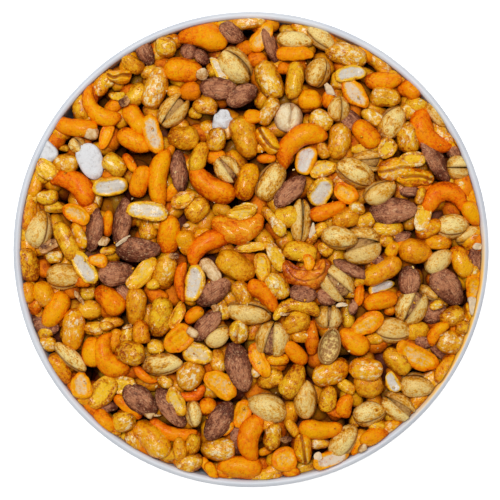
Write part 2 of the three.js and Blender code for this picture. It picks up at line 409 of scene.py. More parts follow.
WHITE_CHIPS = lies("", Tier.TOP, (-12.8, 60, 11, 9, 60))

CHIPS = lies(
    "", Tier.TOP,
    (-22, 81, 7, 6), (-27.2, -37.8, 5.5, 2.6, -40), (-67.5, 3.5, 6, 5), (51.5, -91.5, 4, 6), (105, 1.5, 5, 4),
    (28, 9, 8, 3.5, 80), (-58, 4.5, 10, 2, 38), (-57, -35.7, 4.5, 3, 20), (-30, 11, 4, 3), (42, -25.3, 6, 3),
    (102, -26.5, 9, 6, -80), (-16.5, -27, 3.5, 4), (16, -29.5, 6, 3), (31, -95.5, 5, 4),
    (-45, -76.5, 9, 2, 0), (-79.5, -22, 9, 3, -60), (36, 73.5, 9, 3.4, -55),
)

SKINS = lies(
    "", Tier.OVER,
    (-58, 68, 6, 4, 30), (-93, 1.3, 10, 5, 25), (16, -87, 6, 3), (-35, -3, 5, 3),
)


# ---- Skins of points


@dataclass(frozen=True)
class Grid:
    """A closed skin of rings between two poles.

    Attributes:
        rings: How many rings of points lie between the poles.
        columns: How many points each ring has.
    """

    rings: int
    columns: int

    @property
    def size(self) -> int:
        """How many points one skin has."""
        return self.rings * self.columns + 2

    def along(self) -> Array:
        """From -1 at the first pole to 1 at the last, closer together towards the poles."""
        return -np.cos(np.linspace(0, np.pi, self.rings + 2))[None, :, None]

    def around(self) -> Array:
        """The angle round a ring, from 0 to two pi."""
        return (np.arange(self.columns) * 2 * np.pi / self.columns)[None, None, :]

    def pick(self, values: Array) -> Array:
        """Takes each pole once.

        Args:
            values: (skins, rings + 2, columns, numbers).

        Returns:
            (skins, points, numbers).
        """
        count, numbers = values.shape[0], values.shape[-1]
        rings = values[:, 1:-1].reshape(count, -1, numbers)
        return np.concatenate([values[:, 0, :1], rings, values[:, -1, :1]], axis=1)

    def faces(self) -> tuple[Array, Array]:
        """The quads between the rings, and the triangles that close the poles.

        Returns:
            Corner numbers, (quads, 4) and (triangles, 3).
        """
        column = np.arange(self.columns)
        following = (column + 1) % self.columns
        start = 1 + np.arange(self.rings - 1)[:, None] * self.columns
        corners = [start + column, start + following]
        corners += [start + self.columns + following, start + self.columns + column]
        quads = np.stack(corners, axis=-1).reshape(-1, 4)
        last = 1 + (self.rings - 1) * self.columns
        first_cap = np.stack([np.zeros_like(column), 1 + following, 1 + column], axis=1)
        last_cap = np.stack([np.full_like(column, self.size - 1), last + column, last + following], axis=1)
        return quads, np.concatenate([first_cap, last_cap])


class Batch:
    """Collects closed skins and makes one piece of them."""

    def __init__(self) -> None:
        """Starts empty."""
        self.points: list[Array] = []
        self.own: list[Array] = []
        self.marks: list[Array] = []
        self.quads: list[Array] = []
        self.triangles: list[Array] = []
        self.count = 0

    def add(self, grid: Grid, points: Array, own: Array, marks: Array) -> None:
        """Adds skins that share one grid, with their faces turned so that the volume within is positive.

        Args:
            grid: How the points of each skin are joined.
            points: (skins, points, 3), in the frame.
            own: (skins, points, 3), each point's place on its own nut, which patterns follow.
            marks: (skins, points, 4), tone, bare, painted shade between the nuts, and trim, each from 0 to 1;
                the tone is partly painted light and shade.
        """
        quads, triangles = grid.faces()
        parts = np.concatenate([quads[:, [0, 1, 2]], quads[:, [0, 2, 3]], triangles])
        a, b, c = (points[0][parts[:, corner]] - points[0].mean(axis=0) for corner in range(3))
        if np.sum(a * np.cross(b, c)) < 0:
            quads, triangles = quads[:, ::-1], triangles[:, ::-1]
        starts = self.count + grid.size * np.arange(len(points))[:, None, None]
        self.quads.append((quads + starts).reshape(-1, 4))
        self.triangles.append((triangles + starts).reshape(-1, 3))
        for kept, new in ((self.points, points), (self.own, own), (self.marks, marks)):
            kept.append(new.reshape(-1, new.shape[-1]))
        self.count += grid.size * len(points)

    def piece(self, name: str, material: bpy.types.Material, slot: Slot) -> bpy.types.Object:
        """Makes the piece: mesh, pattern attributes, finish and body.

        Args:
            name: The piece's name.
            material: Its finish.
            slot: Not used.

        Returns:
            The new object.
        """
        quads, triangles = np.concatenate(self.quads), np.concatenate(self.triangles)
        corners = np.concatenate([quads.ravel(), triangles.ravel()]).astype(np.int32)
        starts = np.concatenate([np.arange(len(quads)) * 4, quads.size + np.arange(len(triangles)) * 3])
        mesh = bpy.data.meshes.new(name)
        mesh.vertices.add(self.count)
        mesh.vertices.foreach_set("co", (np.concatenate(self.points) * MM).astype(np.float32).ravel())
        mesh.loops.add(len(corners))
        mesh.loops.foreach_set("vertex_index", corners)
        mesh.polygons.add(len(starts))
        mesh.polygons.foreach_set("loop_start", starts.astype(np.int32))
        mesh.polygons.foreach_set("use_smooth", np.ones(len(starts), dtype=bool))
        mesh.update(calc_edges=True)
        own = mesh.attributes.new("own", "FLOAT_VECTOR", "POINT")
        own.data.foreach_set("vector", np.concatenate(self.own).astype(np.float32).ravel())
        marks = mesh.attributes.new("marks", "FLOAT_COLOR", "POINT")
        marks.data.foreach_set("color", np.concatenate(self.marks).astype(np.float32).ravel())
        mesh.materials.append(material)
        made = bpy.data.objects.new(name, mesh)
        bpy.context.scene.collection.objects.link(made)
        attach(made, BODY)
        LOG.info("%s: %d points, %d faces", name, self.count, len(starts))
        return made


# ---- Finishes


class Steps:
    """Adds nodes to a tree and links them, so that a finish reads as a list of steps."""

    FACTOR, FIRST_COLOUR, SECOND_COLOUR, MIXED_COLOUR = 0, 6, 7, 2
    FIRST_NUMBER, SECOND_NUMBER = 2, 3

    def __init__(self, tree: bpy.types.NodeTree) -> None:
        """Takes the tree that the nodes go into."""
        self.tree = tree

    def link(self, source: Any, socket: Any) -> None:
        """Joins an output to an input."""
        self.tree.links.new(source, socket)

    def add(self, kind: str, inputs: dict[Any, Any] | None = None, **settings: Any) -> Any:
        """Adds one node.

        Args:
            kind: The node's type, after "ShaderNode".
            inputs: Socket name or number, with a value for it or the output that feeds it.
            **settings: The node's own settings.

        Returns:
            The node.
        """
        node = self.tree.nodes.new("ShaderNode" + kind)
        for name, value in settings.items():
            setattr(node, name, value)
        for key, value in (inputs or {}).items():
            if isinstance(value, bpy.types.NodeSocket):
                self.link(value, node.inputs[key])
            else:
                node.inputs[key].default_value = value
        return node

    def noise(self, place: Any, size: float, detail: float = 2.0, wander: float = 0.0) -> Any:
        """Noise from 0 to 1 whose blobs are about size across, in the units of place."""
        inputs = {"Vector": place, "Scale": 1 / size, "Detail": detail, "Distortion": wander}
        return self.add("TexNoise", inputs).outputs["Fac"]

    def spread(self, value: Any, low: Any, high: Any) -> Any:
        """0 where value is under low and 1 where it is over high, eased between."""
        inputs = {"Value": value, "From Min": low, "From Max": high}
        return self.add("MapRange", inputs, interpolation_type="SMOOTHSTEP").outputs["Result"]

    def scale(self, value: Any, low: float, high: float) -> Any:
        """A number from 0 to 1, taken from low to high."""
        return self.add("MapRange", {"Value": value, "To Min": low, "To Max": high}).outputs["Result"]

    def math(self, kind: str, first: Any, second: Any = 0.0) -> Any:
        """Two numbers worked out to one, by the Math node's kind."""
        return self.add("Math", {0: first, 1: second}, operation=kind).outputs[0]

    def plus(self, first: Any, second: Any) -> Any:
        """The sum of two numbers."""
        return self.math("ADD", first, second)

    def times(self, first: Any, second: Any) -> Any:
        """The product of two numbers."""
        return self.math("MULTIPLY", first, second)

    def ragged_noise(self, place: Any, size: Any, roughness: float, **inputs: float) -> Any:
        """Noise whose size may be an output, as a group's input is.

        Args:
            place: Where it is read.
            size: How large its blobs are.
            roughness: How strong its finer layers are.
            **inputs: Other sockets, in small letters.

        Returns:
            The output with a number from 0 to 1.
        """
        sockets = {key.title(): value for key, value in inputs.items()}
        sockets |= {"Vector": place, "Scale": self.math("DIVIDE", 1.0, size), "Roughness": roughness}
        return self.add("TexNoise", sockets).outputs["Fac"]

    def mix(self, share: Any, first: Any, second: Any) -> Any:
        """The first colour where share is 0, and the second where it is 1."""
        inputs = {self.FACTOR: share, self.FIRST_COLOUR: first, self.SECOND_COLOUR: second}
        return self.add("Mix", inputs, data_type="RGBA").outputs[self.MIXED_COLOUR]

    def stretched(self, place: Any, x: float, y: float, z: float) -> Any:
        """A place with each direction scaled on its own."""
        scaled = {0: place, 1: (x, y, z)}
        return self.add("VectorMath", scaled, operation="MULTIPLY").outputs["Vector"]

    def effect(self, group: bpy.types.NodeTree, **inputs: Any) -> Any:
        """Places a shared group and gives its first output."""
        sockets = {key.title(): value for key, value in inputs.items()}
        return self.add("Group", sockets, node_tree=group).outputs[0]

    def marks(self) -> tuple[Any, Any, Any, Any]:
        """The piece's own marks: tone (partly painted light and shade), bare, painted shade between the nuts,
        and trim.

        Returns:
            Four outputs, in that order.
        """
        attribute = self.add("Attribute", attribute_name="marks").outputs
        tone, bare, sunk = self.add("SeparateColor", {"Color": attribute["Color"]}).outputs
        return tone, bare, sunk, attribute["Alpha"]

    def bumped(self, shader: Any, height: Any, depth: float, strength: float = 1.0) -> None:
        """Feeds a height, whose full range stands for depth in millimetres, to the shader's normal."""
        inputs = {"Height": height, "Distance": depth * MM, "Strength": strength}
        self.link(self.add("Bump", inputs).outputs["Normal"], shader.inputs["Normal"])


class Effects:
    """The shader node groups that several finishes share, each built once."""

    @staticmethod
    def begin(name: str, result: str, **sockets: str) -> tuple[Steps, Any, Any]:
        """Starts a group.

        Args:
            name: The group's name.
            result: Its output, "Color" or a number's name.
            **sockets: Input names, each with Vector, Float or Color.

        Returns:
            The group's steps, its inputs, and the socket that takes the result.
        """
        tree = bpy.data.node_groups.new(name, "ShaderNodeTree")
        for label, kind in sockets.items():
            tree.interface.new_socket(label, in_out="INPUT", socket_type="NodeSocket" + kind)
        kind = "NodeSocketColor" if result == "Color" else "NodeSocketFloat"
        tree.interface.new_socket(result, in_out="OUTPUT", socket_type=kind)
        given = tree.nodes.new("NodeGroupInput").outputs
        return Steps(tree), given, tree.nodes.new("NodeGroupOutput").inputs[0]

    @classmethod
    @cache
    def mottle(cls) -> bpy.types.NodeTree:
        """Blobs of three colours, which lean to the deep or the bright one with the tone: at random from nut
        to nut, and as painted light on top and painted shade on the flanks.

        Returns:
            The group.
        """
        colours = {"Deep": "Color", "Middle": "Color", "Bright": "Color"}
        numbers = {"Tone": "Float", "Blotch": "Float", "Speck": "Float"}
        steps, given, out = cls.begin("mottle", "Color", Place="Vector", **numbers, **colours)
        broad = steps.noise(given["Place"], size=4.5, wander=0.5)
        close = steps.noise(given["Place"], size=1.5, detail=3.0, wander=0.9)
        blobs = steps.plus(steps.scale(broad, -0.5, 0.5), steps.scale(close, -0.5, 0.5))
        blobs = steps.times(blobs, given["Blotch"])
        fine = steps.noise(given["Place"], size=0.5)
        blobs = steps.plus(blobs, steps.times(steps.scale(fine, -1.0, 1.0), given["Speck"]))
        lit = steps.plus(blobs, steps.scale(given["Tone"], 0.18, 0.72))
        under = steps.mix(steps.spread(lit, 0.2, 0.5), given["Deep"], given["Middle"])
        over = steps.mix(steps.spread(lit, 0.46, 0.7), under, given["Bright"])
        pits = steps.times(steps.spread(fine, 0.57, 0.66), given["Speck"])
        steps.link(steps.mix(pits, over, given["Deep"]), out)
        return steps.tree

    @classmethod
    @cache
    def patches(cls) -> bpy.types.NodeTree:
        """Ragged patches with soft edges, of a chosen size, that cover a chosen share of the surface.

        Returns:
            The group.
        """
        steps, given, out = cls.begin("patches", "Mask", Place="Vector", Size="Float", Cover="Float")
        blobs = steps.ragged_noise(given["Place"], given["Size"], 0.62, detail=4.0, distortion=0.5)
        low = steps.scale(given["Cover"], 0.7, 0.36)
        halo = steps.spread(blobs, low, steps.plus(low, 0.16))
        core = steps.spread(blobs, steps.plus(low, 0.08), steps.plus(low, 0.14))
        steps.link(steps.plus(steps.times(halo, 0.55), steps.times(core, 0.45)), out)
        return steps.tree

    @classmethod
    @cache
    def grain(cls) -> bpy.types.NodeTree:
        """Fine salt-like grain mixed with soft lumps, as a height from 0 to 1.

        Returns:
            The group.
        """
        steps, given, out = cls.begin("grain", "Height", Place="Vector", Size="Float", Lumps="Float")
        fine = steps.ragged_noise(given["Place"], given["Size"], 0.6, detail=3.0, distortion=0.7)
        lumps = steps.noise(given["Place"], size=2.6, detail=1.0, wander=0.6)
        shares = {Steps.FACTOR: given["Lumps"], Steps.FIRST_NUMBER: fine, Steps.SECOND_NUMBER: lumps}
        steps.link(steps.add("Mix", shares, data_type="FLOAT").outputs[0], out)
        return steps.tree


@dataclass(frozen=True)
class Finish:
    """What every finish has.

    Attributes:
        name: The material's name.
        roughness: How dull it is.
        specular: How much it mirrors; 0.5 is usual.
        gloss: Weight of a clear coat.
        gloss_roughness: How dull that coat is.
    """

    name: str
    roughness: float = 0.5
    specular: float = 0.5
    gloss: float = 0.0
    gloss_roughness: float = 0.12

    def material(self) -> bpy.types.Material:
        """Builds the material.

        Returns:
            The material.
        """
        made = bpy.data.materials.new(self.name)
        made.use_nodes = True
        shader = made.node_tree.nodes["Principled BSDF"]
        settings = {"Roughness": self.roughness, "Specular IOR Level": self.specular}
        settings |= {"Coat Weight": self.gloss, "Coat Roughness": self.gloss_roughness}
        for socket, value in settings.items():
            shader.inputs[socket].default_value = value
        self.dress(Steps(made.node_tree), shader)
        return made

    def dress(self, steps: Steps, shader: Any) -> None:
        """Feeds the shader; each finish has its own way."""
        raise NotImplementedError


@dataclass(frozen=True)
class NutFinish(Finish):
    """The colours of a nut's surface, of its bare flesh, and of the painted shade between the nuts.

    Attributes:
        deep: Colour of the darkest blobs, and of the painted shade on the flanks.
        middle: Main colour.
        bright: Colour of the lightest blobs, and of the painted light on the top of each nut.
        amber: Colour that some nuts lean to as a whole.
        warmth: How far they do.
        blotch: How strong the blobs are.
        speck: How strong the finest specks are.
        stretch: How much longer than wide the patterns are.
        patch: Colour of the ragged patches.
        cover: Share of the surface that the patches cover.
        patch_size: How large the patches are.
        bare: Colour of the flesh where a nut is split.
        trim: Colour where the trim mark is set: a shell's lips, and the painted shade in a split kernel's
            slit, a crumpled kernel's folds and a pea's cleft.
        grain_depth: How deep the fine grain is.
        grain_size: How large the fine grain is.
        pooled: How far the grain's hollows are darkened towards the deep colour.
    """

    deep: Colour = tint(152, 56, 0)
    middle: Colour = tint(235, 147, 0)
    bright: Colour = tint(255, 201, 32)
    patch: Colour = tint(255, 238, 190)
    amber: Colour = tint(242, 142, 0)
    warmth: float = 0.4
    blotch: float = 0.9
    speck: float = 0.5
    stretch: float = 1.3
    cover: float = 0.42
    patch_size: float = 1.8
    bare: Colour = tint(238, 206, 146)
    trim: Colour = tint(150, 90, 30)
    grain_depth: float = 0.6
    grain_size: float = 0.9
    pooled: float = 0.5

    AMBER_GRAIN, AMBER_RANGE = 45.0, (0.4, 0.68)  # grain and range of the noise: which nuts lean to amber
    FROST_GRAIN, FROST_RANGE = 60.0, (0.38, 0.62)  # and which nuts carry many patches
    LEAST_FROST, FROST_GAIN = 0.45, 2.2
    OPEN_RANGE = (0.6, 0.1)  # the patches, partly painted highlight, fade in the painted shade where a nut lies deep
    PATCH_WEIGHT = 0.9
    EDGE_GRAIN, EDGE_RANGE = 1.4, (-0.7, 0.6)  # how ragged the edge of the bare flesh is
    RUBBED_RANGE, FLESH_RANGE, WHITE_RANGE = (-0.1, 0.4), (0.44, 0.86), (0.75, 1.0)
    STAIN_SIZE, STAIN_COVER, STAIN_WEIGHT = 2.2, 0.45, 0.35
    LUMPS, HOLLOW_RANGE = 0.35, (0.47, 0.33)
    # Colour of the painted shade between the nuts, and of white flesh.
    DARK_BETWEEN, WHITE_FLESH = tint(82, 19, 0), tint(228, 222, 212)

    def place(self, steps: Steps) -> Any:
        """Where on its own nut a point is, in millimetres."""
        return steps.add("Attribute", attribute_name="own").outputs["Vector"]

    def mottled(self, steps: Steps, place: Any, tone: Any) -> Any:
        """The coat's three colours, in blobs.

        Args:
            steps: Adds the nodes.
            place: Where on its own nut a point is.
            tone: How light it is there.

        Returns:
            The output with the colour.
        """
        colours = {"deep": self.deep, "middle": self.middle, "bright": self.bright}
        numbers = {"tone": tone, "blotch": self.blotch, "speck": self.speck}
        return steps.effect(Effects.mottle(), place=place, **numbers, **colours)

    def dress(self, steps: Steps, shader: Any) -> None:
        """Mottles the coat, patches it, bares the split faces, and paints shade on what lies deep between the
        nuts.

        Args:
            steps: Adds the nodes.
            shader: The shader that is fed.
        """
        own = self.place(steps)
        place = steps.stretched(own, 1 / self.stretch, 1, 1)
        tone, bare, sunk, trim = steps.marks()
        coat = self.mottled(steps, place, tone)
        warmth = steps.spread(steps.noise(own, self.AMBER_GRAIN, 0.0), *self.AMBER_RANGE)
        coat = steps.mix(steps.times(warmth, self.warmth), coat, self.amber)
        # The pale patches are partly sugar frosting and partly painted highlight: their cover grows with the
        # tone, so they gather on each nut's lit top.
        frost = steps.spread(steps.noise(own, self.FROST_GRAIN, 0.0), *self.FROST_RANGE)
        frost = steps.scale(frost, self.LEAST_FROST, 1.0)
        cover = steps.times(steps.scale(tone, 0.0, self.FROST_GAIN * self.cover), frost)
        cover = steps.times(cover, steps.spread(sunk, *self.OPEN_RANGE))
        patches = steps.effect(Effects.patches(), place=place, size=self.patch_size, cover=cover)
        coat = steps.mix(steps.times(patches, self.PATCH_WEIGHT), coat, self.patch)
        edge = steps.noise(own, self.EDGE_GRAIN, detail=4.0, wander=0.6)
        edge = steps.plus(bare, steps.scale(edge, *self.EDGE_RANGE))
        stain = steps.effect(Effects.patches(), place=own, size=self.STAIN_SIZE, cover=self.STAIN_COVER)
        flesh = steps.mix(steps.spread(bare, *self.WHITE_RANGE), self.bare, self.WHITE_FLESH)
        flesh = steps.mix(steps.times(stain, self.STAIN_WEIGHT), flesh, self.bright)
        coat = steps.mix(steps.spread(edge, *self.RUBBED_RANGE), coat, self.bright)
        coat = steps.mix(steps.spread(edge, *self.FLESH_RANGE), coat, flesh)
        coat = steps.mix(trim, coat, self.trim)
        height = steps.effect(Effects.grain(), place=own, size=self.grain_size, lumps=self.LUMPS)
        hollows = steps.times(steps.spread(height, *self.HOLLOW_RANGE), self.pooled)
        coat = steps.mix(hollows, coat, self.deep)
        # Painted shade: what lies deep between the nuts turns dark brown, rougher and without coat.
        steps.link(steps.mix(sunk, coat, self.DARK_BETWEEN), shader.inputs["Base Color"])
        steps.link(steps.scale(sunk, self.roughness, 1.0), shader.inputs["Roughness"])
        steps.link(steps.scale(sunk, self.gloss, 0.0), shader.inputs["Coat Weight"])
        steps.bumped(shader, height, self.grain_depth)


@dataclass(frozen=True)
class SkinFinish(NutFinish):
    """An almond's brown skin: fine furrows along it, with thin pale hair lines between them.

    Attributes:
        furrow: How wide a furrow is.
        furrow_length: How long it is.
        hairs: How strong the hair lines are.
    """

    FURROW_RANGE, HAIR_RANGE = (0.48, 0.34), (0.03, 0.008)
    BREAK_GRAIN, BREAK_RANGE = 1.6, (0.42, 0.6)  # where the hair lines are broken off
    SALT_WEIGHT = 0.6

    furrow: float = 0.6
    furrow_length: float = 7.0
    hairs: float = 0.6

    def dress(self, steps: Steps, shader: Any) -> None:
        """Furrows along the nut, dark in the hollows, and hair lines where a noise crosses its middle.

        Args:
            steps: Adds the nodes.
            shader: The shader that is fed.
        """
        place = self.place(steps)
        tone, _, sunk, _ = steps.marks()
        lines = steps.stretched(place, 1 / self.furrow_length, 1 / self.furrow, 1 / self.furrow)
        furrows = steps.noise(lines, 1.0, detail=3.0, wander=0.25)
        hollows = steps.times(steps.spread(furrows, *self.FURROW_RANGE), 0.5)
        coat = steps.mix(hollows, self.mottled(steps, place, tone), self.deep)
        level = steps.math("SUBTRACT", steps.noise(lines, 1.0, detail=1.0, wander=0.4), 0.5)
        hairs = steps.spread(steps.math("ABSOLUTE", level), *self.HAIR_RANGE)
        broken = steps.spread(steps.noise(place, self.BREAK_GRAIN, 1.0), *self.BREAK_RANGE)
        coat = steps.mix(steps.times(steps.times(hairs, broken), self.hairs), coat, self.patch)
        patches = steps.effect(Effects.patches(), place=place, size=self.patch_size, cover=self.cover)
        coat = steps.mix(steps.times(patches, self.SALT_WEIGHT), coat, self.patch)
        # Painted shade: what lies deep between the nuts turns dark brown.
        steps.link(steps.mix(sunk, coat, self.DARK_BETWEEN), shader.inputs["Base Color"])
        steps.bumped(shader, furrows, self.grain_depth)


@dataclass(frozen=True)
class GlazeFinish(Finish):
    """White glaze with a soft unevenness, over a foot ring that stays unglazed.

    Attributes:
        glaze: The glaze's colour.
        shade: Its colour where it lies thicker.
        clay: The bare clay's colour.
        clay_roughness: How dull the bare clay is.
        foot: Height up to which the clay is bare.
        foot_edge: Half the width of the glaze's edge there.
        drift: How large the drifts of thicker glaze are.
        ripple: How large the surface's ripples are.
        ripple_depth: How deep they are.
        glow: Painted reflection of the orange nuts on the inner lip, as a colour.
        glow_angle: Where round the lip the painted reflection is strongest.
        glow_start: How far out, in that direction, it begins.
        glow_full: How far out it is full.
        glow_radius: Distance from the middle up to which it reaches.
        glow_edge: Half the width of its edge there.
        glow_foot: How far down it reaches, so that the outside stays white.
        glow_top: Height from which it is full.
    """

    glaze: Colour = tint(224, 229, 237)
    shade: Colour = tint(214, 220, 230)
    clay: Colour = tint(206, 192, 170)
    clay_roughness: float = 0.8
    foot: float = 1.6
    foot_edge: float = 0.3
    drift: float = 30.0
    ripple: float = 6.0
    ripple_depth: float = 0.08
    glow: Colour = tint(255, 204, 84)
    glow_angle: float = -21.0
    glow_start: float = 92.0
    glow_full: float = 106.0
    glow_radius: float = 107.9
    glow_edge: float = 0.6
    glow_foot: float = 58.0
    glow_top: float = 62.0

    def dress(self, steps: Steps, shader: Any) -> None:
        """Drifts of glaze, the bare foot, and the painted reflection of the nuts on one side of the lip.

        Args:
            steps: Adds the nodes.
            shader: The shader that is fed.
        """
        place = steps.add("TexCoord").outputs["Object"]
        drift = steps.spread(steps.noise(place, self.drift * MM), 0.4, 0.65)
        height = steps.add("SeparateXYZ", {0: place}).outputs["Z"]
        bare = self.between(steps, height, self.foot + self.foot_edge, self.foot - self.foot_edge)
        colour = steps.mix(bare, steps.mix(drift, self.glaze, self.shade), self.clay)
        # Painted reflection: the nuts' colour laid on the inner lip, on one side only.
        flat = steps.stretched(place, 1, 1, 0)
        radius = steps.add("VectorMath", {0: flat}, operation="LENGTH").outputs["Value"]
        angle = np.radians(self.glow_angle)
        towards = {0: flat, 1: (np.cos(angle), np.sin(angle), 0)}
        reach = steps.add("VectorMath", towards, operation="DOT_PRODUCT").outputs["Value"]
        edge = self.glow_radius + self.glow_edge, self.glow_radius - self.glow_edge
        glow = self.between(steps, radius, *edge)
        glow = steps.times(glow, self.between(steps, height, self.glow_foot, self.glow_top))
        glow = steps.times(glow, self.between(steps, reach, self.glow_start, self.glow_full))
        steps.link(steps.mix(glow, colour, self.glow), shader.inputs["Base Color"])
        steps.link(steps.scale(bare, self.roughness, self.clay_roughness), shader.inputs["Roughness"])
        steps.bumped(shader, steps.noise(place, self.ripple * MM), self.ripple_depth)

    def between(self, steps: Steps, value: Any, low: float, high: float) -> Any:
        """0 where a measure in metres is under low and 1 where it is over high, both in millimetres."""
        return steps.spread(value, low * MM, high * MM)


@dataclass(frozen=True)
class FloorFinish(Finish):
    """A plain pale floor, evenly white.

    Attributes:
        paint: Its colour.
        light: Light of its own, which hides the bowl's shadow as the photo does.
    """

    paint: Colour = tint(246, 246, 246)
    light: float = 0.75

    def dress(self, steps: Steps, shader: Any) -> None:
        """Sets one near-white colour, with white light of its own.

        Args:
            steps: Adds the nodes.
            shader: The shader that is fed.
        """
        shader.inputs["Base Color"].default_value = self.paint
        shader.inputs["Emission Color"].default_value = tint(255, 255, 255)
        shader.inputs["Emission Strength"].default_value = self.light


# ---- The bowl


def carried(section: Array, first: float, last: float, columns: int) -> tuple[Grid, Array, Array, Array]:
    """Carries a half section round the z axis.

    Args:
        section: Radius and height of each ring, from pole to pole.
        first: Height of the first pole.
        last: Height of the last pole.
        columns: How many points go round.

    Returns:
        The grid, and x, y and z on it.
    """
    grid = Grid(len(section), columns)
    radius = np.concatenate([[0], section[:, 0], [0]])[None, :, None]
    height = np.concatenate([[first], section[:, 1], [last]])[None, :, None]
    return grid, radius * np.cos(grid.around()), radius * np.sin(grid.around()), height


@dataclass(frozen=True)
class Bowl:
    """The glazed bowl, a half section carried round the z axis.

    Attributes:
        rim_radius: Outside radius at the rim.
        height: Height of the rim's top.
        rim_thickness: Thickness of the wall at the rim, which is rounded over.
        foot_radius: Outside radius of the foot ring.
        foot_width: Width of the foot ring.
        foot_height: Height of the foot ring's outside.
        recess: Height of the underside within the foot ring.
        floor: Height of the inside's flat.
        edge: How far the foot ring's edges are cut back.
        belly: Radius of both curves' belly corner, as a share of the radius at the rim.
        side: Radius of both curves' side corner, as a share of the radius at the rim.
        belly_rise: How far the outer belly corner lies above the foot ring.
        outside_side_height: Height of the outer side corner, as a share of the bowl's.
        inside_side_height: Height of the inner side corner, as a share of the bowl's.
    """

    WALL_RINGS, RIM_RINGS, FLAT_RINGS, COLUMNS = 60, 16, 12, 192
    INNERMOST = 4.0  # radius of the flats' first ring

    rim_radius: float = 110.0
    height: float = 70.0
    rim_thickness: float = 3.4
    foot_radius: float = 62.0
    foot_width: float = 6.0
    foot_height: float = 5.0
    recess: float = 3.0
    floor: float = 10.0
    edge: float = 1.0
    belly: float = 0.89
    side: float = 0.99
    belly_rise: float = 1.0
    outside_side_height: float = 0.42
    inside_side_height: float = 0.47

    @property
    def bend_height(self) -> float:
        """Height at which the wall bends into the rounded rim."""
        return self.height - self.rim_thickness / 2

    def curve(self, corners: list[tuple[float, float]], steps: int) -> Array:
        """A cubic Bezier curve: each of four corners weighed by its Bernstein polynomial.

        Args:
            corners: Radius and height of each corner.
            steps: How many points.

        Returns:
            (points, 2).
        """
        at = np.linspace(0, 1, steps)[:, None]
        a, b, c, d = (np.array(corner, dtype=float) for corner in corners)
        return a * (1 - at) ** 3 + 3 * b * at * (1 - at) ** 2 + 3 * c * at**2 * (1 - at) + d * at**3

    def inside(self, steps: int = WALL_RINGS) -> Array:
        """The inside's curve, from the rim's bend down to the flat, as radius and height.

        Args:
            steps: How many points.

        Returns:
            (points, 2).
        """
        radius = self.rim_radius - self.rim_thickness
        corners = [(radius, self.bend_height), (radius * self.side, self.height * self.inside_side_height)]
        corners += [(radius * self.belly, self.floor), (self.foot_radius, self.floor)]
        return self.curve(corners, steps)

    def outside(self) -> Array:
        """The outside's curve, from the foot ring up to the rim's bend, as radius and height.

        Returns:
            (points, 2).
        """
        radius = self.rim_radius
        corners = [(self.foot_radius, self.foot_height)]
        corners += [(radius * self.belly, self.foot_height + self.belly_rise)]
        corners += [(radius * self.side, self.height * self.outside_side_height), (radius, self.bend_height)]
        return self.curve(corners, self.WALL_RINGS)

    def wall(self, height: Array) -> Array:
        """Radius of the inside at each height."""
        curve = self.inside()[::-1]
        return np.interp(height, curve[:, 1], curve[:, 0])

    def profile(self) -> Array:
        """The half section from the underside's middle round to the inside's middle.

        Returns:
            (points, 2).
        """
        inner = self.foot_radius - self.foot_width
        foot = [(inner - self.edge, self.recess), (inner, self.edge), (inner + self.edge, 0)]
        foot += [(self.foot_radius - self.edge, 0), (self.foot_radius, self.edge)]
        turn = np.linspace(0, np.pi, self.RIM_RINGS + 2)[1:-1]
        rim_round = self.rim_thickness / 2
        rim = np.stack([np.cos(turn), np.sin(turn)], axis=1) * rim_round
        rim += [self.rim_radius - rim_round, self.bend_height]
        under = stack(np.linspace(self.INNERMOST, inner - 2 * self.edge, self.FLAT_RINGS), self.recess)
        flat = stack(np.linspace(self.foot_radius, self.INNERMOST, self.FLAT_RINGS)[1:], self.floor)
        return np.concatenate([under, foot, self.outside(), rim, self.inside(), flat])

    def build(self, finish: Finish) -> None:
        """Carries the section round, and lets the piece stand for the bowl.

        Args:
            finish: Its finish.
        """
        grid, x, y, z = carried(self.profile(), self.recess, self.floor, self.COLUMNS)
        points = grid.pick(stack(x, y, z))
        batch = Batch()
        batch.add(grid, points, points, np.zeros((*points.shape[:2], 4)))
        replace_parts(batch.piece("glazed_bowl", finish.material(), Slot.GLAZE), "bowl")


# ---- How the nuts settle


@dataclass(frozen=True)
class Settled:
    """Nuts of one kind where they came to rest, one row each.

    Attributes:
        centre: (nuts, 3).
        axes: (nuts, 3, 3), whose columns are along, across and up on the nut.
        size: (nuts, 3), half the length, width and height.
        bend: Radians from end to end.
        gape: Degrees that a shell stands open.
        worn: How much of its coat a split face has lost.
    """

    centre: Array
    axes: Array
    size: Array
    bend: Array
    gape: Array
    worn: Array

    def only(self, chosen: Array) -> "Settled":
        """The chosen nuts on their own."""
        return Settled(**{key: value[chosen] for key, value in vars(self).items()})


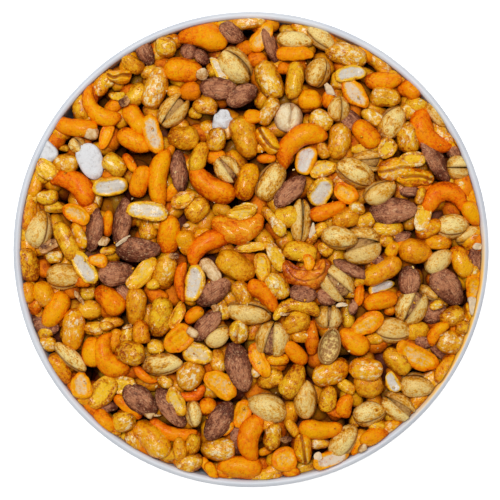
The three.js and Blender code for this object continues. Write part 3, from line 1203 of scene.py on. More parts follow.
class Heap:
    """The height of what lies in the bowl so far, on a raster, on which nut after nut comes to rest."""

    CELL, REACH = 0.8, 108.0  # the raster's cell, and half its side
    EDGE_TOP, CROWN = 71.0, 4.0  # the top nuts' backs at the wall, and how much higher the middle is
    CORE_DEPTH = 24.0  # how far the core's top lies below them
    CORE_LUMPS = ((12.0, 2.0), (5.0, 1.0))  # grain and height of the core's lumps
    TIER_TOP = dict(zip(Tier, (-17.0, -10.5, -5.8, -2.8, 0.0, 3.0, -1.5)))  # how high each tier's backs aim
    TIER_GIVE = dict(zip(Tier, (4.0, 2.5, 1.5, 1.3, 1.3, 1.0, 4.5)))  # and how far they may miss it
    FOOTPRINT = 0.15  # a nut rests on what lies under the part of it thicker than this share
    LEAN_SHARE, MOST_LEAN = 0.45, 0.32  # how much of the ground's slope a nut takes on, and the steepest
    REST_SHARE = 0.93  # the share of the footprint that it clears, so that nuts sink a little into each other
    SPINE = np.linspace(-0.85, 0.85, 15)
    SUNK_START, SUNK_RANGE, SUNK_MOST = 2.3, 8.0, 0.9  # where the painted shade between the nuts begins, and how dark it gets
    WALL_GAP = 0.25

    def __init__(self, bowl: Bowl) -> None:
        """Starts with the top of the core.

        Args:
            bowl: The bowl that it fills.
        """
        self.bowl = bowl
        self.radius = bowl.rim_radius - bowl.rim_thickness
        line = np.arange(-self.REACH, self.REACH + self.CELL, self.CELL)
        self.x, self.y = np.meshgrid(line, line)
        self.height = self.core_top(self.x, self.y)

    def top(self, x: Array, y: Array) -> Array:
        """Height that the backs of the top nuts reach: a low dome."""
        return self.EDGE_TOP + self.CROWN * (1 - np.minimum((x * x + y * y) / self.radius**2, 1))

    def core_top(self, x: Array, y: Array) -> Array:
        """Height of the core's uneven top: the dome, lower down, with lumps of two grains.

        Args:
            x: Places, to the right.
            y: Places, towards the top.

        Returns:
            One height for each place.
        """
        layers = enumerate(self.CORE_LUMPS, 11)
        lumps = sum(depth * noise(stack(x / grain, y / grain, 0.0), seed) for seed, (grain, depth) in layers)
        return self.top(x, y) - self.CORE_DEPTH + lumps

    def rise(self, u: Array, v: Array, lie: Lie, size: Array) -> Array:
        """How far the nut stands over and under its middle: half an ellipsoid, or a bent sausage's round.

        Args:
            u: Places along the nut.
            v: Places across it.
            lie: How it lies.
            size: Half its length, width and height.

        Returns:
            One height for each place.
        """
        if lie.bend:
            spine = bent_spine(self.SPINE, lie.length, np.radians(lie.bend))[0]
            gap = np.min(np.hypot(u[..., None] - spine[:, 0], v[..., None] - spine[:, 1]), axis=-1)
            return size[2] * np.sqrt(np.maximum(1 - (gap / size[1]) ** 2, 0))
        long, wide = np.maximum(size[:2], self.CELL)
        return size[2] * np.sqrt(np.maximum(1 - (u / long) ** 2 - (v / wide) ** 2, 0))

    def drop(self, lie: Lie, size: Array) -> tuple[float, Array]:
        """Lets one nut come to rest, and adds it to the height.

        The nut leans in part as the plane of least squares through the ground under it does. It stays within
        its tier.

        Args:
            lie: Where it lies.
            size: Half its length, width and height as it lies.

        Returns:
            Height of its middle, and the slope of its middle plane to the right and to the top.
        """
        reach = max(lie.length, lie.width) / 2 + self.CELL
        column, row = (int((value + self.REACH) / self.CELL) for value in (lie.x, lie.y))
        half = int(reach / self.CELL) + 1
        window = tuple(slice(max(at - half, 0), at + half + 1) for at in (row, column))
        x, y, ground = self.x[window] - lie.x, self.y[window] - lie.y, self.height[window]
        cosine, sine = np.cos(np.radians(lie.turn)), np.sin(np.radians(lie.turn))
        rise = self.rise(x * cosine + y * sine, y * cosine - x * sine, lie, size)
        under = rise > self.FOOTPRINT * size[2]
        plane = np.stack([x[under], y[under], np.ones(under.sum())], axis=1)
        slope = np.linalg.lstsq(plane, ground[under], rcond=None)[0][:2] * self.LEAN_SHARE
        slope *= min(1, self.MOST_LEAN / max(np.hypot(*slope), TINY))
        lean = slope[0] * x + slope[1] * y
        rest = np.quantile((ground - lean + rise)[under], self.REST_SHARE)
        target = self.top(lie.x, lie.y) + self.TIER_TOP[lie.tier] - size[2]
        give = self.TIER_GIVE[lie.tier]
        middle = float(np.clip(rest, target - give, target + give))
        self.height[window] = np.where(rise > 0, np.maximum(ground, middle + lean + rise), ground)
        return middle, slope

    def settle(self, kinds: list["Kind"]) -> dict[str, Settled]:
        """Lets all nuts come to rest, tier after tier.

        Args:
            kinds: The kinds of nut.

        Returns:
            Where the nuts of each kind lie, by the kind's name.
        """
        middles = {kind.name: np.zeros(len(kind.lies)) for kind in kinds}
        slopes = {kind.name: np.zeros((len(kind.lies), 2)) for kind in kinds}
        for tier in Tier:
            for kind in kinds:
                for index, lie in enumerate(kind.lies):
                    if lie.tier == tier:
                        size = kind.seen_size(lie)
                        middles[kind.name][index], slopes[kind.name][index] = self.drop(lie, size)
        return {kind.name: kind.settled(middles[kind.name], slopes[kind.name]) for kind in kinds}

    def sunk(self, points: Array) -> Array:
        """How much painted shade a point gets for lying deep between the nuts, from 0 to 1."""
        depth = self.top(points[..., 0], points[..., 1]) - points[..., 2] - self.SUNK_START
        return ease(depth / self.SUNK_RANGE) * self.SUNK_MOST

    def held(self, points: Array) -> Array:
        """Points, with those that would pierce the bowl's wall pressed back to just inside it.

        Args:
            points: Points in the frame.

        Returns:
            Points of the same shape.
        """
        radius = np.hypot(points[..., 0], points[..., 1])
        room = np.minimum(self.bowl.wall(points[..., 2]), self.radius) - self.WALL_GAP
        share = np.minimum(1, room / np.maximum(radius, TINY))
        return points * stack(share, share, 1.0)


def bent_spine(along: Array, length: Array, bend: Array) -> tuple[Array, Array]:
    """A nut's middle line, bent to an arc: radius = length / bend, angle = bend * along / 2.

    Args:
        along: From -1 to 1.
        length: Length along the arc.
        bend: Radians from end to end, positive where it bulges to +y.

    Returns:
        Points (x, y), with the origin halfway between the chord and the top of the arc, and the angle.
    """
    radius = length / bend
    angle = bend * along / 2
    y = radius * (np.cos(angle) - 1) + radius * (1 - np.cos(bend / 2)) / 2
    return stack(radius * np.sin(angle), y), angle


# ---- Kinds of nut


@dataclass
class Kind:
    """One kind of nut: its skins are functions of along, from end to end, and around.

    Attributes:
        name: The piece's name.
        finish: Its finish.
        lies: Where the nuts lie.
        grid: The grid of the nuts in sight.
        seed: Starts its random draws.
        flatness: Height as a share of the width.
        bumps: Grain and height of each layer of bumps.
    """

    CROWN_SHARE = 0.7  # how much of a point's tone is painted light and shade from its height on the nut, lighter on top; the rest is drawn
    CROWN_START = 0.05  # the painted light that the height of the nut's middle gives
    LEAST_BEND = 8.0  # a straight nut's bend, so that its arc's radius isn't endless
    MEDIUM, COARSE = Grid(9, 13), Grid(6, 9)  # grids of the nuts that show little, or not at all

    name: str
    finish: Finish
    lies: list[Lie]
    grid: Grid
    seed: int
    flatness: float = 0.9
    bumps: tuple[tuple[float, float], ...] = ((5.5, 0.7), (2.4, 0.4), (1.1, 0.1))

    def seen_size(self, lie: Lie) -> Array:
        """Half the length, width and height that the nut has as it lies.

        Args:
            lie: How it lies.

        Returns:
            Three numbers.
        """
        turn = np.radians(lie.roll)
        half = lie.width / 2
        broad = np.hypot(np.cos(turn), self.flatness * np.sin(turn))
        tall = np.hypot(np.sin(turn), self.flatness * np.cos(turn))
        return np.array([lie.length / 2, half, half * tall / broad])

    def own_size(self, lie: Lie) -> Array:
        """Half the nut's own length, width and height, with which a rolled one looks as wide as noted.

        Args:
            lie: How it lies.

        Returns:
            Three numbers.
        """
        turn = np.radians(lie.roll)
        half = lie.width / 2 / np.hypot(np.cos(turn), self.flatness * np.sin(turn))
        return np.array([lie.length / 2, half, half * self.flatness])

    def settled(self, middles: Array, slopes: Array) -> Settled:
        """Where the nuts lie, from the heights of their middles and the slopes that they lie on.

        Args:
            middles: Heights of their middles.
            slopes: Slopes of their middle planes, (nuts, 2).

        Returns:
            One row for each nut.
        """
        upward = unit(stack(-slopes[:, 0], -slopes[:, 1], np.ones(len(slopes))))
        right = unit(stack(np.ones(len(slopes)), 0 * slopes[:, 0], slopes[:, 0]))
        lean = np.stack([right, np.cross(upward, right), upward], axis=-1)
        turn = turned(np.array([lie.turn for lie in self.lies]), 2)
        roll = turned(np.array([-lie.roll for lie in self.lies]), 0)
        bends = [lie.bend if abs(lie.bend) > self.LEAST_BEND else self.LEAST_BEND for lie in self.lies]
        return Settled(
            centre=stack(*np.array([(lie.x, lie.y) for lie in self.lies]).T, middles),
            axes=lean @ turn @ roll,
            size=np.array([self.own_size(lie) for lie in self.lies]),
            bend=np.radians(bends),
            gape=np.array([lie.gape for lie in self.lies]),
            worn=np.array([lie.worn for lie in self.lies]),
        )

    def build(self, heap: Heap, settled: Settled) -> None:
        """Shapes the nuts, lays them where they settled, and makes the piece.

        Args:
            heap: Says how deep a point lies, and where the wall is.
            settled: Where the nuts lie.
        """
        rng = np.random.default_rng(self.seed)
        batch = Batch()
        tiers = np.array([lie.tier for lie in self.lies])
        levels = tiers > Tier.BETWEEN, tiers == Tier.BETWEEN, tiers < Tier.BETWEEN
        for chosen, grid in zip(levels, (self.grid, self.MEDIUM, self.COARSE)):
            if chosen.any():
                kept = settled.only(chosen)
                for points, marks in self.skins(kept, grid, rng):
                    self.lay(batch, heap, kept, grid, points, marks, rng)
        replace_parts(batch.piece(self.name, self.finish.material(), Slot.NUTS), "nut_heap")

    def lay(
        self, batch: Batch, heap: Heap, kept: Settled, grid: Grid, points: Array, marks: Array, rng: Random
    ) -> None:
        """Moves skins from their own places to the heap.

        Args:
            batch: Takes the skins.
            heap: Says how deep a point lies, and where the wall is.
            kept: Where these nuts lie.
            grid: Their grid.
            points: (nuts, rings + 2, columns, 3) on the nuts themselves.
            marks: Bare and trim, (nuts, rings + 2, columns, 2).
            rng: Draws the tones.
        """
        own, split = grid.pick(points), grid.pick(marks)
        laid = heap.held(np.einsum("nij,npj->npi", kept.axes, own) + kept.centre[:, None])
        # Painted light and shade: the tone is partly drawn at random and partly the point's height on its
        # nut, lighter on top, darker on the flanks.
        raised = laid[..., 2] - kept.centre[:, None, 2]
        share = raised / np.abs(raised).max(axis=1, keepdims=True)
        crown = ease(self.CROWN_START + (1 - self.CROWN_START) * share)
        tone = (1 - self.CROWN_SHARE) * rng.random((len(own), 1)) + self.CROWN_SHARE * crown
        full = stack(tone, split[..., 0], heap.sunk(laid), split[..., 1])
        batch.add(grid, laid, own + elsewhere(rng, len(own))[:, 0], full)

    def skins(self, kept: Settled, grid: Grid, rng: Random) -> Skins:
        """The skins of one nut's parts, each for all nuts, with their bare and trim marks."""
        raise NotImplementedError

    def relief(self, points: Array, rng: Random) -> Array:
        """Height of the bumps: noises of several grains."""
        own = points + elsewhere(rng, len(points))
        return sum(depth * noise(own / grain, layer) for layer, (grain, depth) in enumerate(self.bumps))

    def roughened(self, points: Array, size: Array, rng: Random) -> Array:
        """Moves each point along the ellipsoid's own outward direction by the bumps."""
        return points + outward(points, size) * self.relief(points, rng)[..., None]


def outward(points: Array, size: Array) -> Array:
    """The directions that point straight out of ellipsoids of the given half sizes."""
    return unit(points / size[:, None, None] ** 2)


def spans(kept: Settled, grid: Grid) -> tuple[Array, Array, Array, Array, Array]:
    """Along and around on the grid, and half of each nut's length, width and height."""
    return grid.along(), grid.around(), *(kept.size[:, axis, None, None] for axis in range(3))


def marked(points: Array, bare: Array | float = 0.0, trim: Array | float = 0.0) -> Skins:
    """One skin with its bare and trim marks; a single number stands for all of it."""
    shape = points.shape[:-1]
    return [(points, np.stack([np.broadcast_to(bare, shape), np.broadcast_to(trim, shape)], axis=-1))]


@dataclass
class Peanuts(Kind):
    """Whole kernels: ovals with blunt ends, a slight waist and a shallow seam.

    Attributes:
        bluntness: 2 gives an ellipse from end to end, and more gives blunter ends.
        taper: How much thicker than the middle one end may be, as a share.
        waist: Least and most that the middle is drawn in, as a share; under 0 it swells.
        waist_length: How far along it reaches, as a share of half the length.
        seam_depth: Depth of the seam between the two halves.
        seam_width: Half the width of the seam.
        bow: How far the middle may bow to one side, as a share of half the width.
    """

    bluntness: float = 2.4
    taper: float = 0.18
    waist: tuple[float, float] = (-0.02, 0.07)
    waist_length: float = 0.4
    seam_depth: float = 0.7
    seam_width: float = 0.6
    bow: float = 0.07

    def skins(self, kept: Settled, grid: Grid, rng: Random) -> Skins:
        """Girth is (1 - |along|^b)^(1/b), tapered to one end, less a seam round a random plane.

        Args:
            kept: Where the nuts lie, and their sizes.
            grid: The skins' grid.
            rng: Draws what differs from nut to nut.

        Returns:
            Points and marks of each part, (nuts, rings + 2, columns, 3 and 2).
        """
        along, around, a, b, h = spans(kept, grid)
        taper = 1 + drawn(rng, -self.taper, self.taper, len(a)) * along
        waist = 1 - drawn(rng, *self.waist, len(a)) * bell(along / self.waist_length)
        seam = drawn(rng, 0, np.pi, len(a))
        depth = self.seam_depth * drawn(rng, 0.2, 1.0, len(a))
        groove = bell(np.sin(around - seam) * b / self.seam_width)
        girth = oval(along, self.bluntness) * taper * waist * (1 - depth / b * groove)
        bow = drawn(rng, -self.bow, self.bow, len(a)) * b * (1 - 2 * along**2)
        points = stack(a * along, b * girth * np.cos(around) + bow, h * girth * np.sin(around))
        return marked(self.roughened(points, kept.size, rng))


@dataclass
class SplitPeanuts(Peanuts):
    """Whole kernels whose halves have come apart along the top, with pale lips on a slit darkened as painted
    shade.

    Attributes:
        slit_depth: Depth of the slit.
        slit_width: Half its width.
        slit_wander: How far it wanders to both sides.
        lip_place: How far the lips lie from its middle.
        lip_width: Half the width of a lip.
    """

    WANDER_GRAIN, LIP_GRAIN, MARK = 4.0, 2.2, 0.8

    slit_depth: float = 2.2
    slit_width: float = 0.6
    slit_wander: float = 1.4
    lip_place: float = 1.2
    lip_width: float = 0.6

    def skins(self, kept: Settled, grid: Grid, rng: Random) -> Skins:
        """The whole kernel, lowered by a bell-shaped slit that wanders along its top.

        Args:
            kept: Where the nuts lie, and their sizes.
            grid: The skins' grid.
            rng: Draws what differs from nut to nut.

        Returns:
            Points and marks of each part, (nuts, rings + 2, columns, 3 and 2).
        """
        points = super().skins(kept, grid, rng)[0][0]
        place = points[..., :1] * [1 / self.WANDER_GRAIN, 0, 0] + elsewhere(rng, len(points))
        side = points[..., 1] - self.slit_wander * noise(place, 9)
        ends = ease(3 - 3 * np.abs(points[..., 0] / kept.size[:, :1, None]) ** 2)
        on_top = ends * ease(points[..., 2] / kept.size[:, 2:, None] * 2)
        slit = on_top * bell(side / self.slit_width)
        lips = on_top * bell((np.abs(side) - self.lip_place) / self.lip_width)
        lips = lips * ease(0.5 + 1.2 * noise(points / self.LIP_GRAIN + place, 10))
        points[..., 2] -= self.slit_depth * slit
        # The slit's trim mark paints shade into it; the lips are marked bare.
        return marked(points, self.MARK * lips, self.MARK * slit)


@dataclass
class Halves(Kind):
    """Split kernels: a domed back, and a worn face with rounded shoulders, a trough and the germ's nub.

    Attributes:
        bluntness: 2 gives an ellipse from end to end, and more gives blunter ends.
        taper: How much thicker than the middle one end may be, as a share.
        bow: How far the middle may bow to one side, as a share of half the width.
        back: Depth of the back, as a share of half the height.
        shoulder: Height of the face, as a share of half the height.
        trough: Depth of the face's trough, as a share of half the height.
        groove: Depth of the fine groove along the trough's middle, as a share of half the height.
        nub: How far the germ's nub stands up.
        nub_place: Where it lies along the nut, from -1 to 1.
    """

    CROWN_START = 0.55
    SHOULDER_POWER = 0.6
    TROUGH_SPREAD, GROOVE_WIDTH, NUB_LENGTH, NUB_WIDTH = 0.3, 0.5, 1.5, 1.1
    LEAST_REACH, LEAST_BARE, WORN_WIDTH = 0.6, 0.35, 0.9  # how far and how much a face is bare at the least

    flatness: float = 0.6
    bluntness: float = 2.2
    taper: float = 0.2
    bow: float = 0.16
    back: float = 1.3
    shoulder: float = 0.75
    trough: float = 0.35
    groove: float = 0.12
    nub: float = 0.9
    nub_place: float = 0.72

    def skins(self, kept: Settled, grid: Grid, rng: Random) -> Skins:
        """Half an ellipse below; above, a power of the sine less the trough. Bare within an oval on top.

        Args:
            kept: Where the nuts lie, and their sizes.
            grid: The skins' grid.
            rng: Draws what differs from nut to nut.

        Returns:
            Points and marks of each part, (nuts, rings + 2, columns, 3 and 2).
        """
        along, around, a, b, h = spans(kept, grid)
        girth = oval(along, self.bluntness)
        girth = girth * (1 + drawn(rng, -self.taper, self.taper, len(a)) * along)
        bow = drawn(rng, -self.bow, self.bow, len(a)) * b * (1 - 2 * along**2)
        y = b * girth * np.cos(around)
        rising = np.sin(around)
        level = np.clip(rising, 0, 1)
        within = ease(2.2 - 2.6 * np.abs(y / b)) * ease(2.2 - 2.4 * np.abs(along))
        trough = self.trough * (1 + drawn(rng, -self.TROUGH_SPREAD, self.TROUGH_SPREAD, len(a))) * within
        trough = (trough + self.groove * bell(y / self.GROOVE_WIDTH)) * ease(level * 3)
        nub = self.nub * bell((along - self.nub_place) * a / self.NUB_LENGTH, y / self.NUB_WIDTH)
        nub = nub * ease(level * 4)
        face = h * girth * (self.shoulder * level**self.SHOULDER_POWER - trough) + nub
        z = np.where(rising > 0, face, self.back * h * girth * rising)
        points = self.roughened(stack(a * along, y + bow, z), kept.size, rng)
        worn = kept.worn[:, None, None]
        reach = self.LEAST_REACH + (1 - self.LEAST_REACH) * worn
        within = 1 - (y / b / self.WORN_WIDTH / reach) ** 2 - (along / reach) ** 4
        bare = self.LEAST_BARE + (1 - self.LEAST_BARE) * worn
        return marked(points, bare * ease(1.5 * within) * ease(level * 2))


@dataclass
class Cashews(Kind):
    """Curved kernels: a round section carried along an arc, flatter on the inner side, with a crease.

    Attributes:
        thick_end: How much thicker than the middle one end is, as a share.
        hollow: How much flatter the inner side is, as a share.
        crease: Depth of the crease along the inner side.
        crease_width: Half its width.
        folds: Depth of the folds of a crumpled kernel, which are also darkened as painted shade.
    """

    BLUNTNESS, FULLEST = 2.6, 0.94
    # Grain and width of the folds, and how strongly their trim mark paints shade into them.
    FOLD_GRAIN, FOLD_WIDTH, FOLD_TRIM = (10.0, 2.4, 2.4), 0.2, 0.7

    flatness: float = 0.85
    thick_end: float = 0.2
    hollow: float = 0.12
    crease: float = 0.8
    crease_width: float = 0.7
    folds: float = 0.0
    bumps: tuple[tuple[float, float], ...] = ((7.0, 0.7), (2.5, 0.2), (1.0, 0.06))

    def skins(self, kept: Settled, grid: Grid, rng: Random) -> Skins:
        """Points are the arc's, plus the section's width along its normal and its height upwards.

        Args:
            kept: Where the nuts lie, and their sizes.
            grid: The skins' grid.
            rng: Draws what differs from nut to nut.

        Returns:
            Points and marks of each part, (nuts, rings + 2, columns, 3 and 2).
        """
        along, around, a, b, h = spans(kept, grid)
        bend = kept.bend[:, None, None]
        cosine, sine = np.cos(around), np.sin(around)
        end = rng.choice([-1, 1], (len(a), 1, 1))
        girth = np.sqrt(np.maximum(1 - np.abs(along) ** self.BLUNTNESS, 0))
        girth = girth * (1 + self.thick_end * end * along) / self.FULLEST
        inward = -np.sign(bend) * cosine
        crease = self.crease / b * bell(sine * b / self.crease_width) * (1 + inward) / 2
        share = girth * (1 - crease) * (1 - self.hollow * np.maximum(inward, 0))
        spine, angle = bent_spine(along, 2 * a, bend)
        across = b * share * cosine
        x, y = spine[..., 0] + across * np.sin(angle), spine[..., 1] + across * np.cos(angle)
        points = stack(x, y, h * share * sine)
        bumps = self.relief(points, rng)
        straight = stack(a * along, b * cosine, h * sine) / self.FOLD_GRAIN
        fold = bell(noise(straight, 8) / self.FOLD_WIDTH) * self.folds
        facing = unit(stack(cosine * np.sin(angle), cosine * np.cos(angle), sine))
        points = points + facing * ((bumps - fold) * np.minimum(girth * 2, 1))[..., None]
        # The trim mark paints shade into the folds.
        return marked(points, 0.0, np.minimum(fold, 1) * self.FOLD_TRIM)


@dataclass
class Almonds(Kind):
    """Flat kernels, blunt at one end and pointed at the other, with furrows along the skin.

    Attributes:
        taper: The power that draws the pointed end in; 0.5 leaves it as blunt as the other.
        furrow: Depth of a furrow.
        furrow_gap: How far apart the furrows lie.
        furrow_length: How long they are.
    """

    flatness: float = 0.6
    taper: float = 0.56
    furrow: float = 0.2
    furrow_gap: float = 0.9
    furrow_length: float = 9.0
    bumps: tuple[tuple[float, float], ...] = ((6.0, 0.45), (2.4, 0.12))

    def skins(self, kept: Settled, grid: Grid, rng: Random) -> Skins:
        """Half width is (1 + along)^0.5 (1 - along)^0.56, scaled to 1; the furrows are stretched noise.

        Args:
            kept: Where the nuts lie, and their sizes.
            grid: The skins' grid.
            rng: Draws what differs from nut to nut.

        Returns:
            Points and marks of each part, (nuts, rings + 2, columns, 3 and 2).
        """
        along, around, a, b, h = spans(kept, grid)
        girth = np.sqrt(1 + along) * np.maximum(1 - along, 0) ** self.taper
        girth = girth / girth.max()
        thick = np.minimum(np.maximum(1 - along**2, 0) ** 0.55, girth * 1.15)
        z = h * thick * np.sign(np.sin(around)) * np.abs(np.sin(around)) ** 1.1
        points = self.roughened(stack(a * along, b * girth * np.cos(around), z), kept.size, rng)
        place = points + elsewhere(rng, len(a))
        lines = noise(place / [self.furrow_length, self.furrow_gap, self.furrow_gap], 7)
        lines = self.furrow * (np.abs(lines) * 2 - 1) * np.minimum(girth * 2, 1)
        return marked(points + outward(points, kept.size) * lines[..., None])


@dataclass
class Pistachios(Kind):
    """Nuts in their shells: two hard half shells, hinged at one end, round a wrinkled kernel.

    Attributes:
        wall: Thickness of the shell.
        lip: Half the width of the lips' trim.
        parting: How far each half shell keeps from the middle plane.
        inner_bare: The bare mark on the inside.
    """

    HINGE_POWER, TIP_POWER = 0.46, 0.56
    BUMP_GRAIN, BUMP_HEIGHT = 5.0, 0.35
    RIDGE_GRAIN, RIDGE_HEIGHT = (12, 2.2, 2.2), 0.12

    flatness: float = 0.92
    wall: float = 1.0
    lip: float = 0.9
    parting: float = 0.12
    inner_bare: float = 0.74

    def skins(self, kept: Settled, grid: Grid, rng: Random) -> Skins:
        """Two half shells, the second a mirror image of the first."""
        return [self.half_shell(kept, grid, side) for side in (1, -1)]

    def girth(self, along: Array) -> Array:
        """Half width from end to end: blunt at the hinge and drawn to a tip at the opening."""
        share = np.maximum(1 + along, 0) ** self.HINGE_POWER * np.maximum(1 - along, 0) ** self.TIP_POWER
        return share / share.max()

    def half_shell(self, kept: Settled, grid: Grid, side: int) -> tuple[Array, Array]:
        """Half a ring carried from end to end: the outer arc from lip to lip, and the inner arc back.

        Args:
            kept: Where the nuts lie, and their sizes.
            grid: The skins' grid.
            side: 1 or -1, the side that it lies on.

        Returns:
            Points and marks, (nuts, rings + 2, columns, 3 and 2).
        """
        along, _, a, b, h = spans(kept, grid)
        outer_count = grid.columns * 3 // 5
        out, back = np.linspace(0, np.pi, outer_count), np.linspace(np.pi, 0, grid.columns - outer_count)
        arc = np.concatenate([out, back])[None, None, :]
        inner = (np.arange(grid.columns) >= outer_count).astype(float)[None, None, :]
        thick = inner * self.wall
        share = self.girth(along) * (1 - thick / b)
        points = stack(a * along * (1 - thick / a), b * share * np.sin(arc), h * share * np.cos(arc))
        bumps = noise(points / self.BUMP_GRAIN + kept.centre[:, None, None], 3) * self.BUMP_HEIGHT
        ridges = noise(points / self.RIDGE_GRAIN + kept.centre[:, None, None], 4) * self.RIDGE_HEIGHT
        points = points * (1 + (bumps + ridges)[..., None] / b[..., None] * (1 - inner[..., None]))
        x, y = points[..., 0] + a, side * (points[..., 1] + self.parting)
        half = np.radians(kept.gape)[:, None, None] / 2 * side
        opened_x = x * np.cos(half) - y * np.sin(half) - a
        opened_y = x * np.sin(half) + y * np.cos(half)
        lips = bell(np.sin(arc) * b / self.lip) * (0.7 + 0.3 * inner)
        return marked(stack(opened_x, opened_y, points[..., 2]), inner * self.inner_bare, lips)[0]


@dataclass
class EmptyShells(Pistachios):
    """Half shells that lie with their hollow up."""

    def skins(self, kept: Settled, grid: Grid, rng: Random) -> Skins:
        """One half shell, turned about its length so that its hollow looks up.

        Args:
            kept: Where the nuts lie, and their sizes.
            grid: The skins' grid.
            rng: Draws what differs from nut to nut.

        Returns:
            Points and marks of each part, (nuts, rings + 2, columns, 3 and 2).
        """
        points, marks = self.half_shell(kept, grid, 1)
        x, y, z = np.moveaxis(points, -1, 0)
        return [(stack(x, z, 0.35 * kept.size[:, 1, None, None] - y), marks)]


@dataclass
class Kernels(Kind):
    """The wrinkled kernels that show in the open shells.

    Attributes:
        share: Their size as a share of the shell's.
        bluntness: 2 gives an ellipse from end to end, and more gives blunter ends.
    """

    flatness: float = 0.92
    share: float = 0.79
    bluntness: float = 2.2
    bumps: tuple[tuple[float, float], ...] = ((2.2, 0.6), (0.9, 0.2))

    def skins(self, kept: Settled, grid: Grid, rng: Random) -> Skins:
        """An oval that is a share as long and wide as the shell.

        Args:
            kept: Where the nuts lie, and their sizes.
            grid: The skins' grid.
            rng: Draws what differs from nut to nut.

        Returns:
            Points and marks of each part, (nuts, rings + 2, columns, 3 and 2).
        """
        along, around, *sizes = spans(kept, grid)
        a, b, h = (self.share * size for size in sizes)
        girth = oval(along, self.bluntness)
        points = stack(a * along, b * girth * np.cos(around), h * girth * np.sin(around))
        return marked(self.roughened(points, self.share * kept.size, rng))


@dataclass
class RoundPeas(Kind):
    """Round roasted peas: nearly a ball, with a cleft over the top and a small beak where it ends.

    Attributes:
        cleft: Depth of the cleft.
        cleft_width: Half its width.
        beak: Height of the beak.
        beak_place: Where it lies along the pea, from -1 to 1.
    """

    # Length and width of the beak, and width and strength of the painted shade in the cleft.
    BEAK_LENGTH, BEAK_WIDTH, TRIM_WIDTH, TRIM = 1.5, 1.3, 0.6, 0.5

    flatness: float = 0.95
    cleft: float = 2.4
    cleft_width: float = 0.9
    beak: float = 3.4
    beak_place: float = 0.76
    bumps: tuple[tuple[float, float], ...] = ((5.0, 0.35), (1.6, 0.12))

    def skins(self, kept: Settled, grid: Grid, rng: Random) -> Skins:
        """An ellipsoid less a cleft along its length, plus a beak at the far end of the cleft.

        Args:
            kept: Where the nuts lie, and their sizes.
            grid: The skins' grid.
            rng: Draws what differs from nut to nut.

        Returns:
            Points and marks of each part, (nuts, rings + 2, columns, 3 and 2).
        """
        along, around, a, b, h = spans(kept, grid)
        girth = oval(along)
        side = b * girth * np.cos(around)
        on_top = ease(np.sin(around) * 2)
        cleft = self.cleft * bell(side / self.cleft_width) * on_top * ease((1 - along**2) * 3)
        from_beak = (along - self.beak_place) * a / self.BEAK_LENGTH
        beak = self.beak * bell(from_beak, side / self.BEAK_WIDTH) * on_top
        z = h * girth * np.sin(around) - cleft + beak
        points = self.roughened(stack(a * along, side, z), kept.size, rng)
        # The trim mark paints shade into one half of the cleft.
        return marked(points, 0.0, self.TRIM * (bell(side / self.TRIM_WIDTH) * on_top) * (along < 0.5))


@dataclass
class Chips(Kind):
    """Broken bits: lumpy flakes with random flat breaks.

    Attributes:
        breaks: How many breaks each has.
        break_range: Nearest and farthest that a break lies from the middle, as a share of half the size.
        bare_share: The share of the bits that are bare flesh.
        bare_mark: The bare mark of those.
    """

    flatness: float = 0.45
    breaks: int = 4
    break_range: tuple[float, float] = (0.45, 0.8)
    bare_share: float = 0.5
    bare_mark: float = 0.8
    bumps: tuple[tuple[float, float], ...] = ((3.5, 1.3), (1.6, 0.5), (0.8, 0.15))

    def skins(self, kept: Settled, grid: Grid, rng: Random) -> Skins:
        """An ellipsoid, with what stands over each random plane pressed back onto the plane.

        Args:
            kept: Where the nuts lie, and their sizes.
            grid: The skins' grid.
            rng: Draws what differs from nut to nut.

        Returns:
            Points and marks of each part, (nuts, rings + 2, columns, 3 and 2).
        """
        along, around = grid.along(), grid.around()
        ball = stack(along, oval(along) * np.cos(around), oval(along) * np.sin(around))
        ball = np.broadcast_to(ball, (len(kept.size), *ball.shape[1:]))
        for _ in range(self.breaks):
            facing = unit(rng.normal(size=(len(kept.size), 1, 1, 3)))
            over = np.sum(ball * facing, axis=-1, keepdims=True) - rng.uniform(*self.break_range)
            ball = ball - facing * np.maximum(over, 0)
        points = self.roughened(ball * kept.size[:, None, None], kept.size, rng)
        return marked(points, (rng.random((len(points), 1, 1)) < self.bare_share) * self.bare_mark)


@dataclass
class SkinFlakes(Kind):
    """Loose bits of thin brown skin, curled like petals.

    Attributes:
        curl: How fast a flake rises away from its middle.
        ragged: How far its edge goes in and out, as a share.
        wrinkle: Height of its wrinkles.
    """

    RAGGED_GRAIN, WRINKLE_GRAIN = 2.0, 2.5

    flatness: float = 0.05
    curl: float = 0.09
    ragged: float = 0.22
    wrinkle: float = 0.35

    def skins(self, kept: Settled, grid: Grid, rng: Random) -> Skins:
        """A very flat ellipsoid, lifted by the square of the distance from its middle, and wrinkled.

        Args:
            kept: Where the nuts lie, and their sizes.
            grid: The skins' grid.
            rng: Draws what differs from nut to nut.

        Returns:
            Points and marks of each part, (nuts, rings + 2, columns, 3 and 2).
        """
        along, around, a, b, h = spans(kept, grid)
        x, y = a * along, b * oval(along) * np.cos(around)
        ragged, wrinkled = self.RAGGED_GRAIN, self.WRINKLE_GRAIN
        edge = 1 + self.ragged * noise(stack(x / ragged, y / ragged, kept.centre[:, :1, None]), 5)
        wrinkle = self.wrinkle * noise(stack(x / wrinkled, y / wrinkled, kept.centre[:, 1:2, None]), 6)
        z = h * oval(along) * np.sin(around) + self.curl * (y * y + 0.3 * x * x) + wrinkle
        return marked(stack(x * edge, y * edge, z))


